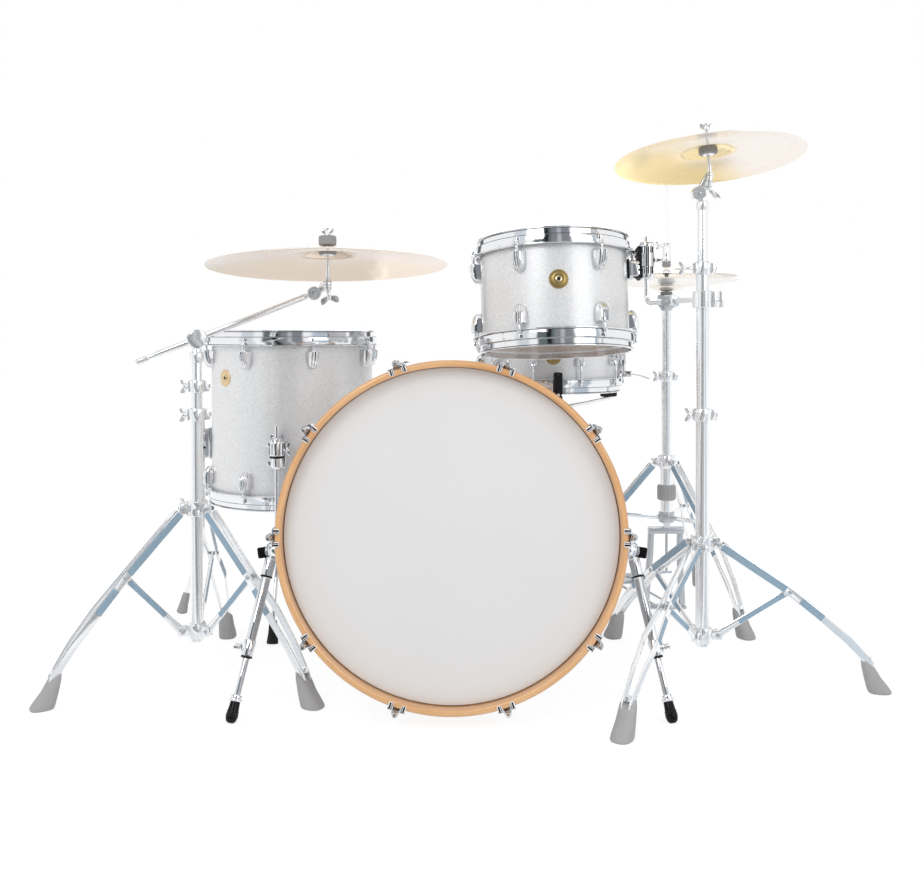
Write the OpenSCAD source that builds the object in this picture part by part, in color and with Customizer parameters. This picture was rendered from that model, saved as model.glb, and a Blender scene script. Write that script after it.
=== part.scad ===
// Acoustic drum kit: bass drum, rack tom, floor tom, snare, hi-hat and two cymbals,
// each on its own stand, legs or spurs. Millimetres. +X is the audience's right,
// +Y points to the player, +Z is up and the floor is z = 0.

/* [Bass drum] */
// Outer radius of the bass drum shell
bass_r = 304.8; // [304:0.2:306]
// Shell depth between the bearing edges
bass_depth = 356; // [350:1:360]
// Outer radius of the maple hoops
bass_hoop_r = 322; // [321:0.5:323]
// How far each hoop stands proud of its head
bass_hoop_proud = 28; // [26:1:29]
// Backward lean of the drum on its spurs, in degrees
bass_tilt = 2; // [1:0.5:3]
// Height of the rear hoop above the floor, where the pedal grips it
bass_rear_lift = 6; // [6:0.5:8]
// Number of tension rods on each head
bass_rods = 10; // [10]

/* [Toms and snare] */
// Outer radius of the rack tom shell
tom_r = 165.1; // [165:0.1:166]
// Depth of the rack tom shell
tom_depth = 229; // [222:1:232]
// Backward lean of the rack tom, in degrees
tom_lean = 6.5; // [5:0.5:7]
// Sideways lean of the rack tom, in degrees
tom_roll = 1.4; // [1:0.2:2]
// Outer radius of the floor tom shell
floor_r = 203.2; // [203:0.1:204]
// Depth of the floor tom shell
floor_depth = 406; // [400:1:408]
// Outer radius of the snare shell
snare_r = 177.8; // [177:0.1:178]
// Depth of the snare shell
snare_depth = 165; // [160:1:166]

/* [Cymbals] */
// Radius of the cymbal on the left stand
left_cymbal_r = 254; // [250:1:256]
// Radius of the cymbal on the right stand
right_cymbal_r = 190.5; // [189:0.5:193]
// Radius of both hi-hat cymbals
hat_r = 178; // [176:1:179]
// Gap between the hi-hat rims with the pedal up
hat_gap = 9; // [6:0.5:10]

/* [Stands] */
// Height of the leg pivots on the left stand's sliding collar
left_collar_z = 355; // [350:1:360]
// Distance of the left stand's feet from its tube
left_foot_r = 304; // [300:1:310]
// Height of the leg pivots on the right stand's sliding collar
right_collar_z = 288; // [284:1:292]
// Distance of the right stand's feet from its tube
right_foot_r = 352; // [348:1:358]
// Length from pivot to pivot of each leg's upper part and of each brace
link = 168; // [166:1:170]
// Upward tilt of the boom arm, in degrees
boom_rise = 21.8; // [20:0.1:23]

/* [Hidden] */
$fn = 48;
chrome = "#c9ced3";
maple = "#d9a066";
wrap = "#d4d6d8";
film = "#efefef";
bronze = "#e9d3ac";
rubber = "#202020";
felt = "#8f8f92";
cut = 1;            // overshoot of every cutting tool
film_t = 0.8;       // thickness of a drum head
film_gap = 0.2;     // head above the bearing edge
flesh_w = 6.6;      // width of the ring that a head is moulded into
rod_out = 15;       // tension rods stand this far outside the shell
run = 0.05;         // radial clearance of a pin or sliding tube in its bore
shell_t = 7;        // thickness of a shell wall

// Bass drum placement: centre of the front hoop's plane, then the lean
bass_len = bass_depth + 2 * bass_hoop_proud;
bass_x = -40;
bass_y = -500;
bass_z = bass_rear_lift + bass_len * sin(bass_tilt) + bass_hoop_r * cos(bass_tilt);
bass_rod_r = bass_hoop_r + 9;
spur_along = 146;   // spur pivots behind the front hoop's plane
spur_turn = 8;      // spur pivots below the drum's middle, in degrees round the shell
spur_hub = 354;     // middle of the spur hubs, from the drum's axis
spur_foot = [404, 16, 3.2];   // foot ends: beside the axis, behind the hoop plane, up

// Rack tom, floor tom and snare placement
tom_at = [187, -50, 794];
floor_at = [-455, 262, 301];
snare_at = [215, 350, 572];
snare_turn = -18;    // heading of the snare's throw-off
floor_leg_turns = [-90, 45, 185];
floor_leg_r = floor_r + 24;
mount_r = 209;      // the rack tom's L-rod stands this far from the tom's axis
rod_elbow_z = 781;  // height of the L-rod's level part

// Cymbal stands
left_at = [-564, -262, 0];
left_turns = [91, 211, 331];
left_low_z = 107;
right_at = [466, -284, 0];
right_turns = [-7, 113, 233];
right_low_z = 104;
right_mid_r = 12.3;
pivot_r = 30;       // leg and brace pivots stand this far from the tube's axis
bar_gap = 11;       // half the spacing of a leg's two bars at its pivots
boom_turn = 12.6;   // compass direction of the boom arm
boom_r = 6.35;
boom_side = 24;     // the boom arm passes this far beside the stand's axis
boom_z = 701;
boom_back = 130;    // length of the boom arm behind its clamp
boom_front = 258;   // and in front of it
left_cymbal_at = [-306, -186, 853];
right_cymbal_at = [481, -276, 1064];

// Hi-hat
hat_at = [507, 270, 0];
hat_turns = [-61, 59, 179];
hat_z = 852;
hat_tube_r = 10.5;
hat_heel = [435, 538, 20];
snare_turns = [-62, 58, 178];

// Bass pedal
pedal_axle_z = 226;
pedal_axle_y = -52;
pedal_heel_y = 236;

// A round bar between two points
module bar(a, b, r) {
    v = b - a;
    d = norm(v);
    translate(a) rotate([0, acos(v.z / d), atan2(v.y, v.x)]) cylinder(r = r, h = d);
}

// A tube along +Z
module pipe(r_out, r_in, h) {
    difference() {
        cylinder(r = r_out, h = h);
        translate([0, 0, -cut]) cylinder(r = r_in, h = h + 2 * cut);
    }
}

// A block centred in x and y, standing on its base
module block(size) {
    translate([-size.x / 2, -size.y / 2, 0]) cube(size);
}

// The same thing at equal steps round an axis
module ring_of(n, first = 0) {
    for (i = [0 : n - 1]) rotate([0, 0, first + i * 360 / n]) children();
}

// The same thing on a drum's upper and lower edge
module both_ends(h) {
    translate([0, 0, h]) children();
    mirror([0, 0, 1]) children();
}

// ---------------------------------------------------------------- drum pieces

// Shell standing on z = 0, with chamfered bearing edges
module drum_shell(r, h) {
    rotate_extrude($fn = 96) polygon([[r - shell_t, 4], [r - 3, 0], [r, 2.5], [r, h - 2.5],
        [r - 3, h], [r - shell_t, h - 4]]);
}

// Head on a bearing edge at z = 0: film, skirt and the ring it is moulded into
module drum_head(r, flesh_top = -7, flesh_bottom = -16) {
    rotate_extrude($fn = 96) polygon([[0, film_gap], [r + 0.3, film_gap], [r + 0.3, flesh_bottom],
        [r + 1.2 + flesh_w, flesh_bottom], [r + 1.2 + flesh_w, flesh_top], [r + 1.2, flesh_top],
        [r + 1.2, film_gap + film_t], [0, film_gap + film_t]]);
}

// Pressed steel hoop with three flanges, for a bearing edge at z = 0
module steel_hoop(r, rods, first = 0) {
    difference() {
        rotate_extrude($fn = 96) polygon([[r + 1.6, 12], [r + 8.4, 12], [r + 8.4, 9.6],
            [r + 4, 9.6], [r + 4, -4], [r + 10.4, -4], [r + 10.4, -23.6], [r + 19, -23.6],
            [r + 19, -26], [r + 8.2, -26], [r + 8.2, -6.4], [r + 1.6, -6.4]]);
        ring_of(rods, first) translate([r + rod_out, 0, -28]) cylinder(r = 3.3, h = 6);
    }
}

// Lug body hanging below z = 0 at the rods' radius, and its foot on the shell
module lug(r, h = 43, foot_h = 30) {
    translate([r + rod_out, 0, -h]) rotate_extrude() polygon([[0, 0], [5, 1], [8, h * 0.2],
        [9.5, h * 0.4], [9.5, h * 0.65], [8, h * 0.88], [6, h], [0, h]]);
    translate([r + 0.1, -7, -h / 2 - foot_h / 2]) cube([rod_out, 14, foot_h]);
}

// Tension rod: square head and washer above the hoop's lowest flange, down into the lug
module tension_rod(r) {
    translate([r + rod_out, 0, -42]) cylinder(r = 2.9, h = 28);
    translate([r + rod_out, 0, -23.4]) cylinder(r = 4.3, h = 2);
    translate([r + rod_out, 0, -21.5]) cylinder(r = 3.9, h = 8);
    translate([r + rod_out, 0, -14]) block([5.2, 5.2, 7]);
}

// Lugs and rods of a tom, top and bottom
module tom_lugs(r, h, rods, first = 0) {
    both_ends(h) ring_of(rods, first) {
        translate([0, 0, -38]) lug(r);
        tension_rod(r);
    }
}

// ---------------------------------------------------------------- bass drum

module in_bass() {
    translate([bass_x, bass_y, bass_z]) rotate([-90 - bass_tilt, 0, 0]) children();
}

module both_bass_ends() {
    children();
    translate([0, 0, bass_len]) mirror([0, 0, 1]) children();
}

module bass_shell() {
    color(wrap) in_bass() translate([0, 0, bass_hoop_proud]) drum_shell(bass_r, bass_depth);
}

module bass_hoops() {
    w = bass_hoop_r - 11.5;
    color(maple) in_bass() both_bass_ends() rotate_extrude($fn = 128)
        polygon([[w, 1], [w + 1, 0], [bass_hoop_r - 3, 0], [bass_hoop_r - 1, 1], [bass_hoop_r, 3],
            [bass_hoop_r, 37], [bass_hoop_r - 1, 38], [w, 38]]);
}

module bass_heads() {
    color(film) in_bass() both_bass_ends() translate([0, 0, bass_hoop_proud]) mirror([0, 0, 1])
        drum_head(bass_r, -10.3, -18);
}

// Claw: saddle on the hoop, two hooks over its front edge, boss and tension rod
module bass_claw() {
    translate([bass_hoop_r + 0.4, -16, 1]) cube([3, 32, 20]);
    for (s = [-1, 1]) translate([bass_hoop_r - 11, s * 11.5 - 4.5, -3.3]) cube([14.4, 9, 3]);
    for (s = [-1, 1]) translate([bass_hoop_r + 0.4, s * 11.5 - 4.5, -3]) cube([3, 9, 8]);
    translate([bass_hoop_r + 2, -5, 2]) cube([8, 10, 18]);
    translate([bass_rod_r, 0, -1]) cylinder(r = 6, h = 22);
    translate([bass_rod_r, 0, -9]) cylinder(r = 4.2, h = 9);
    translate([bass_rod_r, 0, -12]) block([5.4, 5.4, 6]);
    translate([bass_rod_r, 0, 0]) cylinder(r = 3, h = 92);
}

// Lug with a bore for the rod, standing on the shell
module bass_lug() {
    h = 52;
    difference() {
        union() {
            translate([bass_rod_r, 0, 70]) rotate_extrude() polygon([[0, 0], [7, 0], [9, 8],
                [9.5, 18], [9.5, 34], [8, 44], [0, h]]);
            translate([bass_r + 0.1, -9, 78]) cube([bass_rod_r - bass_r, 18, 34]);
        }
        translate([bass_rod_r, 0, 69]) cylinder(r = 3 + run, h = 30);
    }
}

// Spur bracket: plate on the shell, round boss and the pivot pin with its cap
module spur_bracket() {
    translate([bass_r + 0.5, -28, spur_along - 26]) cube([7, 56, 52]);
    translate([bass_r + 3, 0, spur_along]) rotate([0, 90, 0]) cylinder(r = 19, h = 346 - bass_r - 3);
    translate([340, 0, spur_along]) rotate([0, 90, 0]) cylinder(r = 5, h = 28);
    translate([362.5, 0, spur_along]) rotate([0, 90, 0]) cylinder(r = 10, h = 6);
}

module bass_fittings() {
    color(chrome) in_bass() {
        both_bass_ends() ring_of(bass_rods) {
            bass_lug();
            bass_claw();
        }
        rotate([0, 0, spur_turn]) spur_bracket();
        mirror([1, 0, 0]) rotate([0, 0, spur_turn]) spur_bracket();
    }
}

// Pivot and foot of the spur on the right, in kit coordinates; the left one mirrors it
function spur_pivot() = [bass_x + spur_hub * cos(spur_turn),
    bass_y + spur_along * cos(bass_tilt) - spur_hub * sin(spur_turn) * sin(bass_tilt),
    bass_z - spur_along * sin(bass_tilt) - spur_hub * sin(spur_turn) * cos(bass_tilt)];

module spur() {
    p = spur_pivot();
    f = [bass_x + spur_foot.x, bass_y + spur_foot.y, spur_foot.z];
    along = (f - p) / norm(f - p);
    len = norm(f - p);
    in_bass() rotate([0, 0, spur_turn]) translate([346.3, 0, spur_along]) rotate([0, 90, 0])
        pipe(17, 5 + run, 15.9);
    bar(p + 16 * along, p + (len - 118) * along, 9.5);
    bar(p + (len - 142) * along, p + (len - 118) * along, 13);
    bar(p + (len - 120) * along, p + (len - 36) * along, 6.5);
    bar(p + (len - 44) * along, p + (len - 36) * along, 12);
    // wing screw of the memory clamp
    c = p + (len - 130) * along;
    bar(c, c + [24, 0, 4], 4);
    translate(c + [24, 0, 4]) block([4, 18, 9]);
    color(rubber) translate(f) rotate([0, acos(-along.z), atan2(-along.y, -along.x)]) {
        cylinder(r1 = 7, r2 = 11, h = 9);
        translate([0, 0, 8.9]) cylinder(r1 = 11, r2 = 8.5, h = 28);
    }
}

module spur_right() { color(chrome) spur(); }

module spur_left() {
    color(chrome) translate([2 * bass_x, 0, 0]) mirror([1, 0, 0]) spur();
}

// ---------------------------------------------------------------- rack tom

module in_tom() {
    translate(tom_at) rotate([-tom_lean, -tom_roll, 0]) translate([0, 0, -tom_depth / 2]) children();
}

module tom_shell() { color(wrap) in_tom() drum_shell(tom_r, tom_depth); }

module tom_hoops() { color(chrome) in_tom() both_ends(tom_depth) steel_hoop(tom_r, 6); }

module tom_heads() { color(film) in_tom() both_ends(tom_depth) drum_head(tom_r); }

// Elbow of the L-rod and the end that the stand's holder grips, in kit coordinates
elbow = [tom_at.x + mount_r, tom_at.y - 4, rod_elbow_z];
arm_dir = ([right_at.x, right_at.y] - [elbow.x, elbow.y]) / norm([right_at.x, right_at.y] - [elbow.x, elbow.y]);
arm_len = norm([right_at.x, right_at.y] - [elbow.x, elbow.y]);
function along_arm(d, dz = 0) = [elbow.x + d * arm_dir.x, elbow.y + d * arm_dir.y, rod_elbow_z + dz];

// Mounting bracket that straddles a lug, with the L-rod clamped in its barrel
module tom_bracket() {
    in_tom() {
        for (s = [-1, 1]) translate([tom_r + 0.2, s * 17 - 4, 154]) cube([27, 8, 36]);
        translate([tom_r + 25.5, -21, 152]) cube([9, 42, 72]);
    }
    translate([elbow.x, elbow.y, 835]) cylinder(r = 15, h = 83);
    bar([elbow.x, elbow.y, 877], [elbow.x + 26, elbow.y, 877], 4);
    translate([elbow.x + 30, elbow.y, 870]) block([16, 5, 14]);
    bar(elbow + [0, 0, 3], [elbow.x, elbow.y, 930], 5.25);
    translate(elbow) sphere(r = 5.6);
    bar(along_arm(2), along_arm(118), 5.25);
}

module tom_fittings() {
    color(chrome) {
        in_tom() tom_lugs(tom_r, tom_depth, 6);
        tom_bracket();
    }
}

// Holder on the right stand: a clamp round its middle tube and the socket of the L-rod
module tom_arm() {
    turn = atan2(arm_dir.y, arm_dir.x);
    color(chrome) {
        translate([right_at.x, right_at.y, 764]) pipe(20, right_mid_r + run, 34);
        difference() {
            bar(along_arm(90), along_arm(124), 13);
            bar(along_arm(80), along_arm(119), 5.25 + run);
        }
        translate(along_arm(122)) rotate([0, 0, turn])
            translate([0, -7, -6]) cube([arm_len - 122 - 17, 14, 12]);
        // wing bolt on the far side of the clamp
        bar([right_at.x + 16, right_at.y, 781], [right_at.x + 34, right_at.y, 781], 5);
        translate([right_at.x + 34, right_at.y, 764]) block([7, 16, 34]);
    }
}

// ---------------------------------------------------------------- floor tom

module in_floor() { translate(floor_at) children(); }

module floor_shell() { color(wrap) in_floor() drum_shell(floor_r, floor_depth); }

module floor_hoops() { color(chrome) in_floor() both_ends(floor_depth) steel_hoop(floor_r, 8, 22.5); }

module floor_heads() { color(film) in_floor() both_ends(floor_depth) drum_head(floor_r); }

module floor_fittings() {
    color(chrome) in_floor() {
        tom_lugs(floor_r, floor_depth, 8, 22.5);
        for (a = floor_leg_turns) rotate([0, 0, a]) difference() {
            union() {
                translate([floor_r + 0.3, -19, 94]) cube([6, 38, 80]);
                translate([floor_r + 5, -11, 100]) cube([18, 22, 68]);
                translate([floor_leg_r, 0, 98]) cylinder(r = 12.5, h = 72);
                translate([floor_leg_r, 27, 140]) rotate([90, 0, 0]) cylinder(r = 4, h = 18);
                translate([floor_leg_r, 28, 131]) block([11, 5, 26]);
            }
            translate([floor_leg_r, 0, 80]) cylinder(r = 5 + run, h = 100);
        }
    }
}

// Bent leg rod and its rubber foot
module floor_leg(turn) {
    translate([floor_at.x, floor_at.y, 0]) rotate([0, 0, turn]) {
        color(chrome) {
            translate([floor_leg_r, 0, 150]) cylinder(r = 5, h = 345);
            translate([floor_leg_r, 0, 150]) sphere(r = 5.2);
            bar([floor_leg_r, 0, 150], [floor_leg_r + 30, 0, 88], 5);
            translate([floor_leg_r + 30, 0, 88]) sphere(r = 5.2);
            bar([floor_leg_r + 30, 0, 88], [floor_leg_r + 50, 0, 20], 5);
        }
        color(rubber) difference() {
            union() {
                bar([floor_leg_r + 41, 0, 50], [floor_leg_r + 54, 0, 3], 10);
                translate([floor_leg_r + 53.5, 0, 0]) cylinder(r = 13, h = 14);
            }
            translate([floor_leg_r + 50, 0, -60]) block([100, 100, 60]);
        }
    }
}

module floor_leg_1() { floor_leg(floor_leg_turns[0]); }
module floor_leg_2() { floor_leg(floor_leg_turns[1]); }
module floor_leg_3() { floor_leg(floor_leg_turns[2]); }

// ---------------------------------------------------------------- cymbal stands

// Height of the joint between leg and brace, and its distance from the tube
function knee_z(collar_z, low_z) = (collar_z + low_z) / 2;
function knee_r(collar_z, low_z) = pivot_r + sqrt(pow(link, 2) - pow((collar_z - low_z) / 2, 2));

// Sliding collar with an ear for each leg, and its wing screw
module sliding_collar(at, turns, collar_z, tube_r) {
    translate(at) difference() {
        union() {
            translate([0, 0, collar_z - 15]) cylinder(r = 22, h = 30);
            for (a = turns) rotate([0, 0, a]) translate([15, -4.5, collar_z - 10]) cube([22, 9, 20]);
            rotate([0, 0, turns[0] + 60]) {
                translate([18, 0, collar_z + 4]) rotate([0, 90, 0]) cylinder(r = 4, h = 24);
                translate([43, 0, collar_z - 2]) block([5, 24, 12]);
            }
        }
        translate([0, 0, collar_z - 20]) cylinder(r = tube_r + run, h = 40);
    }
}

// Lowest tube: fixed collar with brace pins, open end for the next tube, clamp with wing screw
module base_tube(at, turns, low_z, top_z, tube_r, bore_r, clamp_turn) {
    translate(at) {
        difference() {
            union() {
                translate([0, 0, low_z - 24]) cylinder(r = tube_r, h = top_z - low_z + 24);
                translate([0, 0, low_z - 16]) cylinder(r = 20, h = 28);
                tube_clamp(top_z, tube_r, clamp_turn);
            }
            translate([0, 0, low_z + 40]) cylinder(r = bore_r, h = top_z);
        }
        for (a = turns) rotate([0, 0, a]) {
            for (s = [-1, 1]) translate([16, s * 5.4 - 1.8, low_z - 9]) cube([22, 3.6, 18]);
            translate([pivot_r, 8.5, low_z]) rotate([90, 0, 0]) cylinder(r = 3, h = 17);
        }
    }
}

// Clamp block round the top of a tube, with its wing screw
module tube_clamp(top_z, tube_r, turn, bolt = 4) {
    translate([0, 0, top_z - 26]) cylinder(r = tube_r + 3.5, h = 26);
    rotate([0, 0, turn]) {
        translate([-tube_r - 14, -7, top_z - 24]) cube([15, 14, 22]);
        translate([tube_r, -7, top_z - 24]) cube([6, 14, 22]);
        translate([tube_r + 5, 0, top_z - 13]) rotate([0, 90, 0]) cylinder(r = 4, h = bolt + 2);
        translate([tube_r + 8 + bolt, 0, top_z - 20]) block([5, 28, 13]);
    }
}

// Leg: two bars side by side that spread below the brace and meet at a rubber foot
module leg(at, turn, collar_z, k_r, k_z, foot_r) {
    spread = 15;     // half the widest gap between the two bars
    reach = foot_r - 22 - k_r;
    ankle = [foot_r - 22, 0, 60];
    mid = [k_r + reach * 0.4, 0, k_z + (ankle.z - k_z) * 0.4];
    translate(at) rotate([0, 0, turn]) {
        color(chrome) {
            for (s = [-1, 1]) {
                bar([pivot_r, s * bar_gap, collar_z], [k_r, s * bar_gap, k_z], 4.5);
                translate([k_r, s * bar_gap, k_z]) sphere(r = 4.7);
                bar([k_r, s * bar_gap, k_z], mid + [0, s * spread, 0], 4.5);
                translate(mid + [0, s * spread, 0]) sphere(r = 4.7);
                bar(mid + [0, s * spread, 0], ankle + [0, s * 7, 0], 4.5);
                translate([pivot_r, s * 15, collar_z]) rotate([-s * 90, 0, 0]) cylinder(r = 5, h = 3);
            }
            translate([k_r, 16, k_z]) rotate([90, 0, 0]) cylinder(r = 3, h = 32);
        }
        color(felt) difference() {
            translate(ankle + [-2, 0, 6]) rotate([0, 180 - atan2(14, 66), 0])
                cylinder(r1 = 13.5, r2 = 20, h = 82);
            translate([foot_r, 0, -60]) block([160, 100, 60]);
        }
    }
}

// Brace from the fixed collar to the knee, bored for both pins
module brace(at, turn, collar_z, low_z) {
    a = [pivot_r, 0, low_z];
    b = [knee_r(collar_z, low_z), 0, knee_z(collar_z, low_z)];
    lean = atan2(b.x - a.x, b.z - a.z);
    color(chrome) translate(at) rotate([0, 0, turn]) difference() {
        union() {
            translate(a) rotate([0, lean, 0]) translate([-6, -3, 0]) cube([12, 6, link]);
            for (p = [a, b]) translate(p + [0, 3, 0]) rotate([90, 0, 0]) cylinder(r = 8, h = 6);
        }
        for (p = [a, b]) translate(p + [0, 5, 0]) rotate([90, 0, 0]) cylinder(r = 3 + run, h = 10);
    }
}

// A length of tube that slides in the one below, with its own clamp at the top
module inner_tube(at, low_z, top_z, tube_r, bore_r, clamp_turn, bolt = 4) {
    translate(at) difference() {
        union() {
            translate([0, 0, low_z]) cylinder(r = tube_r, h = top_z - low_z);
            tube_clamp(top_z, tube_r, clamp_turn, bolt);
        }
        translate([0, 0, low_z - cut]) cylinder(r = bore_r, h = top_z - low_z + 2 * cut);
    }
}

// Cymbal with a raised bell, rim plane at z = 0
module cymbal(r, rise, bell_r, bell_h, hole_r = 6.5) {
    t = 1.4;
    rotate_extrude($fn = 96) polygon(concat(
        [for (i = [0 : 6]) let(u = i / 6) [r - u * (r - bell_r), rise * sin(90 * u)]],
        [[bell_r * 0.86, rise + bell_h * 0.45], [bell_r * 0.6, rise + bell_h * 0.85],
         [bell_r * 0.3, rise + bell_h], [hole_r, rise + bell_h],
         [hole_r, rise + bell_h + t], [bell_r * 0.34, rise + bell_h + t],
         [bell_r * 0.66, rise + bell_h * 0.85 + t], [bell_r * 0.93, rise + bell_h * 0.45 + t]],
        [for (i = [6 : -1 : 0]) let(u = i / 6) [r - u * (r - bell_r), rise * sin(90 * u) + t]]));
}

// Leg and brace of the folding stands, whose knees follow from the two collars
module folding_leg(at, turn, collar_z, low_z, foot_r) {
    leg(at, turn, collar_z, knee_r(collar_z, low_z), knee_z(collar_z, low_z), foot_r);
}

module left_leg(i) { folding_leg(left_at, left_turns[i], left_collar_z, left_low_z, left_foot_r); }
module left_brace(i) { brace(left_at, left_turns[i], left_collar_z, left_low_z); }
module left_tube() {
    color(chrome) base_tube(left_at, left_turns, left_low_z, 559, 12.7, 11 + run, 200);
}
module left_collar() { color(chrome) sliding_collar(left_at, left_turns, left_collar_z, 12.7); }
module left_leg_1() { left_leg(0); }
module left_leg_2() { left_leg(1); }
module left_leg_3() { left_leg(2); }
module left_brace_1() { left_brace(0); }
module left_brace_2() { left_brace(1); }
module left_brace_3() { left_brace(2); }
module left_mid_tube() { color(chrome) inner_tube(left_at, 330, 617, 11, 9.5 + run, 200); }

// Top tube of the boom stand, ending in the eye that carries the boom clamp
module left_upper_tube() {
    color(chrome) translate(left_at) {
        translate([0, 0, 400]) cylinder(r = 9.5, h = 284);
        translate([0, 0, 654]) cylinder(r1 = 12.5, r2 = 14, h = 21);
        rotate([0, 0, boom_turn]) {
            translate([0, 9, boom_z]) rotate([90, 0, 0]) cylinder(r = 19, h = 18);
            translate([0, boom_side - 7.5, boom_z]) rotate([90, 0, 0]) cylinder(r = 4, h = 12);
        }
    }
}

// Boom geometry: the arm's axis passes beside the stand and rises to the cymbal
boom_pivot = left_at + [-boom_side * sin(boom_turn), boom_side * cos(boom_turn), boom_z];
boom_dir = [cos(boom_rise) * cos(boom_turn), cos(boom_rise) * sin(boom_turn), sin(boom_rise)];
boom_end = boom_pivot + boom_front * boom_dir;

module in_boom() {
    translate(boom_pivot) rotate([0, 0, boom_turn]) rotate([0, -boom_rise, 0]) children();
}

// Clamp that turns on the stand's top pin and holds the boom arm
module boom_clamp() {
    color(chrome) in_boom() difference() {
        union() {
            translate([0, 13, 0]) rotate([90, 0, 0]) cylinder(r = 19, h = 13 + boom_side - 10);
            translate([-20, 0, 0]) rotate([0, 90, 0]) cylinder(r = 12, h = 40);
            translate([0, 30, 0]) rotate([90, 0, 0]) cylinder(r = 4, h = 20);
            translate([0, 34, -6]) block([30, 5, 12]);
        }
        translate([-30, 0, 0]) rotate([0, 90, 0]) cylinder(r = boom_r + run, h = 60);
        translate([0, -7.2, 0]) rotate([90, 0, 0]) cylinder(r = 4 + run, h = 40);
    }
}

// Boom arm, with the knurled end rod at the back and half of the tilter's knuckle in front
module boom_arm() {
    color(chrome) in_boom() {
        translate([-boom_back + 40, 0, 0]) rotate([0, 90, 0])
            cylinder(r = boom_r, h = boom_back - 40 + boom_front - 16);
        translate([boom_front - 18, -4.5, 0]) rotate([0, 90, 0]) cylinder(r = 4, h = 10);
        translate([-boom_back, 0, 0]) rotate([0, 90, 0]) cylinder(r = 4, h = 60);
        translate([-boom_back, 0, 0]) rotate([0, 90, 0]) cylinder(r = 5.5, h = 26);
        knuckle_pin(boom_front);
    }
}

// Knuckle half with the pivot pin; its partner turns on the pin beside it
module knuckle_pin(x) {
    translate([x, 0, 0]) rotate([90, 0, 0]) cylinder(r = 14.5, h = 9);
    translate([x, 12.3, 0]) rotate([90, 0, 0]) cylinder(r = 3, h = 14);
    translate([x, 13.3, 0]) rotate([90, 0, 0]) cylinder(r = 6, h = 3);
}

module knuckle_eye() {
    translate([0, 9.8, 0]) rotate([90, 0, 0]) pipe(14.5, 3 + run, 9.5);
}

// Felts, sleeve and wing nut on a cymbal stem; z = 0 is the cymbal's hole, `spare` is bare rod
module stem_top(down, low_felt, up_felt, spare = 0) {
    translate([0, 0, -down]) cylinder(r = 4, h = down + up_felt[1] + 4);
    translate([0, 0, up_felt[1] + 2]) cylinder(r = 3, h = 14 + spare);
    color(felt) {
        translate([0, 0, low_felt[0]]) cylinder(r = 19, h = low_felt[1] - low_felt[0]);
        translate([0, 0, up_felt[0]]) cylinder(r = 19, h = up_felt[1] - up_felt[0]);
    }
    translate([0, 0, low_felt[0] - 3]) cylinder(r = 10, h = 3.5);
    translate([0, 0, up_felt[1] - 0.5]) cylinder(r = 8, h = 7);
    translate([0, 0, up_felt[1] + 4 + spare]) block([26, 4, 13]);
}

left_hole = [0, 0, 41];     // cymbal hole above the rim plane's middle
left_lean = 4.1;            // the left cymbal's front edge is up
left_roll = 1;              // and its right side a little too
module in_left_cymbal() { translate(left_cymbal_at) rotate([-left_lean, -left_roll, 0]) children(); }

module left_tilter() {
    foot = left_cymbal_at + [0, -3.4, -38];
    color(chrome) {
        translate(boom_end) rotate([0, 0, boom_turn]) knuckle_eye();
        bar(boom_end + [12, 10, 6], foot + [0, 1, 3], 5.5);
        bar(foot + [0, 0, -8], foot + [0, 0.7, 10], 7);
        bar(foot + [0, 2, -6], foot + [4, 2, -30], 4);
        translate(foot + [6, 2, -40]) block([34, 5, 12]);
        in_left_cymbal() translate(left_hole) stem_top(78, [-14, -2.5], [5.5, 25]);
    }
}

module left_cymbal() { color(bronze) in_left_cymbal() cymbal(left_cymbal_r, 25, 60, 16); }

// ---------------------------------------------------------------- right stand

module right_leg(i) { folding_leg(right_at, right_turns[i], right_collar_z, right_low_z, right_foot_r); }
module right_brace(i) { brace(right_at, right_turns[i], right_collar_z, right_low_z); }
module right_tube() {
    color(chrome) base_tube(right_at, right_turns, right_low_z, 560, 14, right_mid_r + run, 180);
}
module right_collar() { color(chrome) sliding_collar(right_at, right_turns, right_collar_z, 14); }
module right_leg_1() { right_leg(0); }
module right_leg_2() { right_leg(1); }
module right_leg_3() { right_leg(2); }
module right_brace_1() { right_brace(0); }
module right_brace_2() { right_brace(1); }
module right_brace_3() { right_brace(2); }
module right_mid_tube() {
    color(chrome) inner_tube(right_at, 340, 857, right_mid_r, 9.5 + run, 180, 18);
}

knuckle_at = [right_at.x - 8, right_at.y, 995];

// Top tube of the right stand, with half of its tilter's knuckle
module right_upper_tube() {
    color(chrome) {
        translate(right_at + [0, 0, 620]) cylinder(r = 9.5, h = 359);
        translate(right_at + [0, 0, 966]) cylinder(r = 11, h = 13);
        bar(right_at + [0, -5, 975], knuckle_at + [0, -4.5, 0], 4);
        translate(knuckle_at) knuckle_pin(0);
    }
}

right_lean = 6.6;           // front edge up
right_roll = 2.9;           // right side up
right_rise = 31;
module in_right_cymbal() {
    translate(right_cymbal_at) rotate([-right_lean, -right_roll, 0]) children();
}
right_hole_at = right_cymbal_at + right_rise * [-sin(right_roll), sin(right_lean) * cos(right_roll),
    cos(right_lean) * cos(right_roll)];

module right_tilter() {
    foot = right_hole_at + [3.4, -5.8, -64];
    color(chrome) {
        translate(knuckle_at) knuckle_eye();
        bar(knuckle_at + [4, 6.8, 6], foot + [0, 0, 6], 6);
        bar(foot + [-4, 4, -26], foot + [0, 0, 6], 6.5);
        bar(foot + [0, 2, -28], foot + [14, 2, -40], 4);
        translate(foot + [16, 2, -48]) block([6, 16, 14]);
        translate(right_hole_at) rotate([-right_lean, -right_roll, 0])
            stem_top(62, [-18, -3.5], [5, 17], 12);
    }
}

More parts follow.
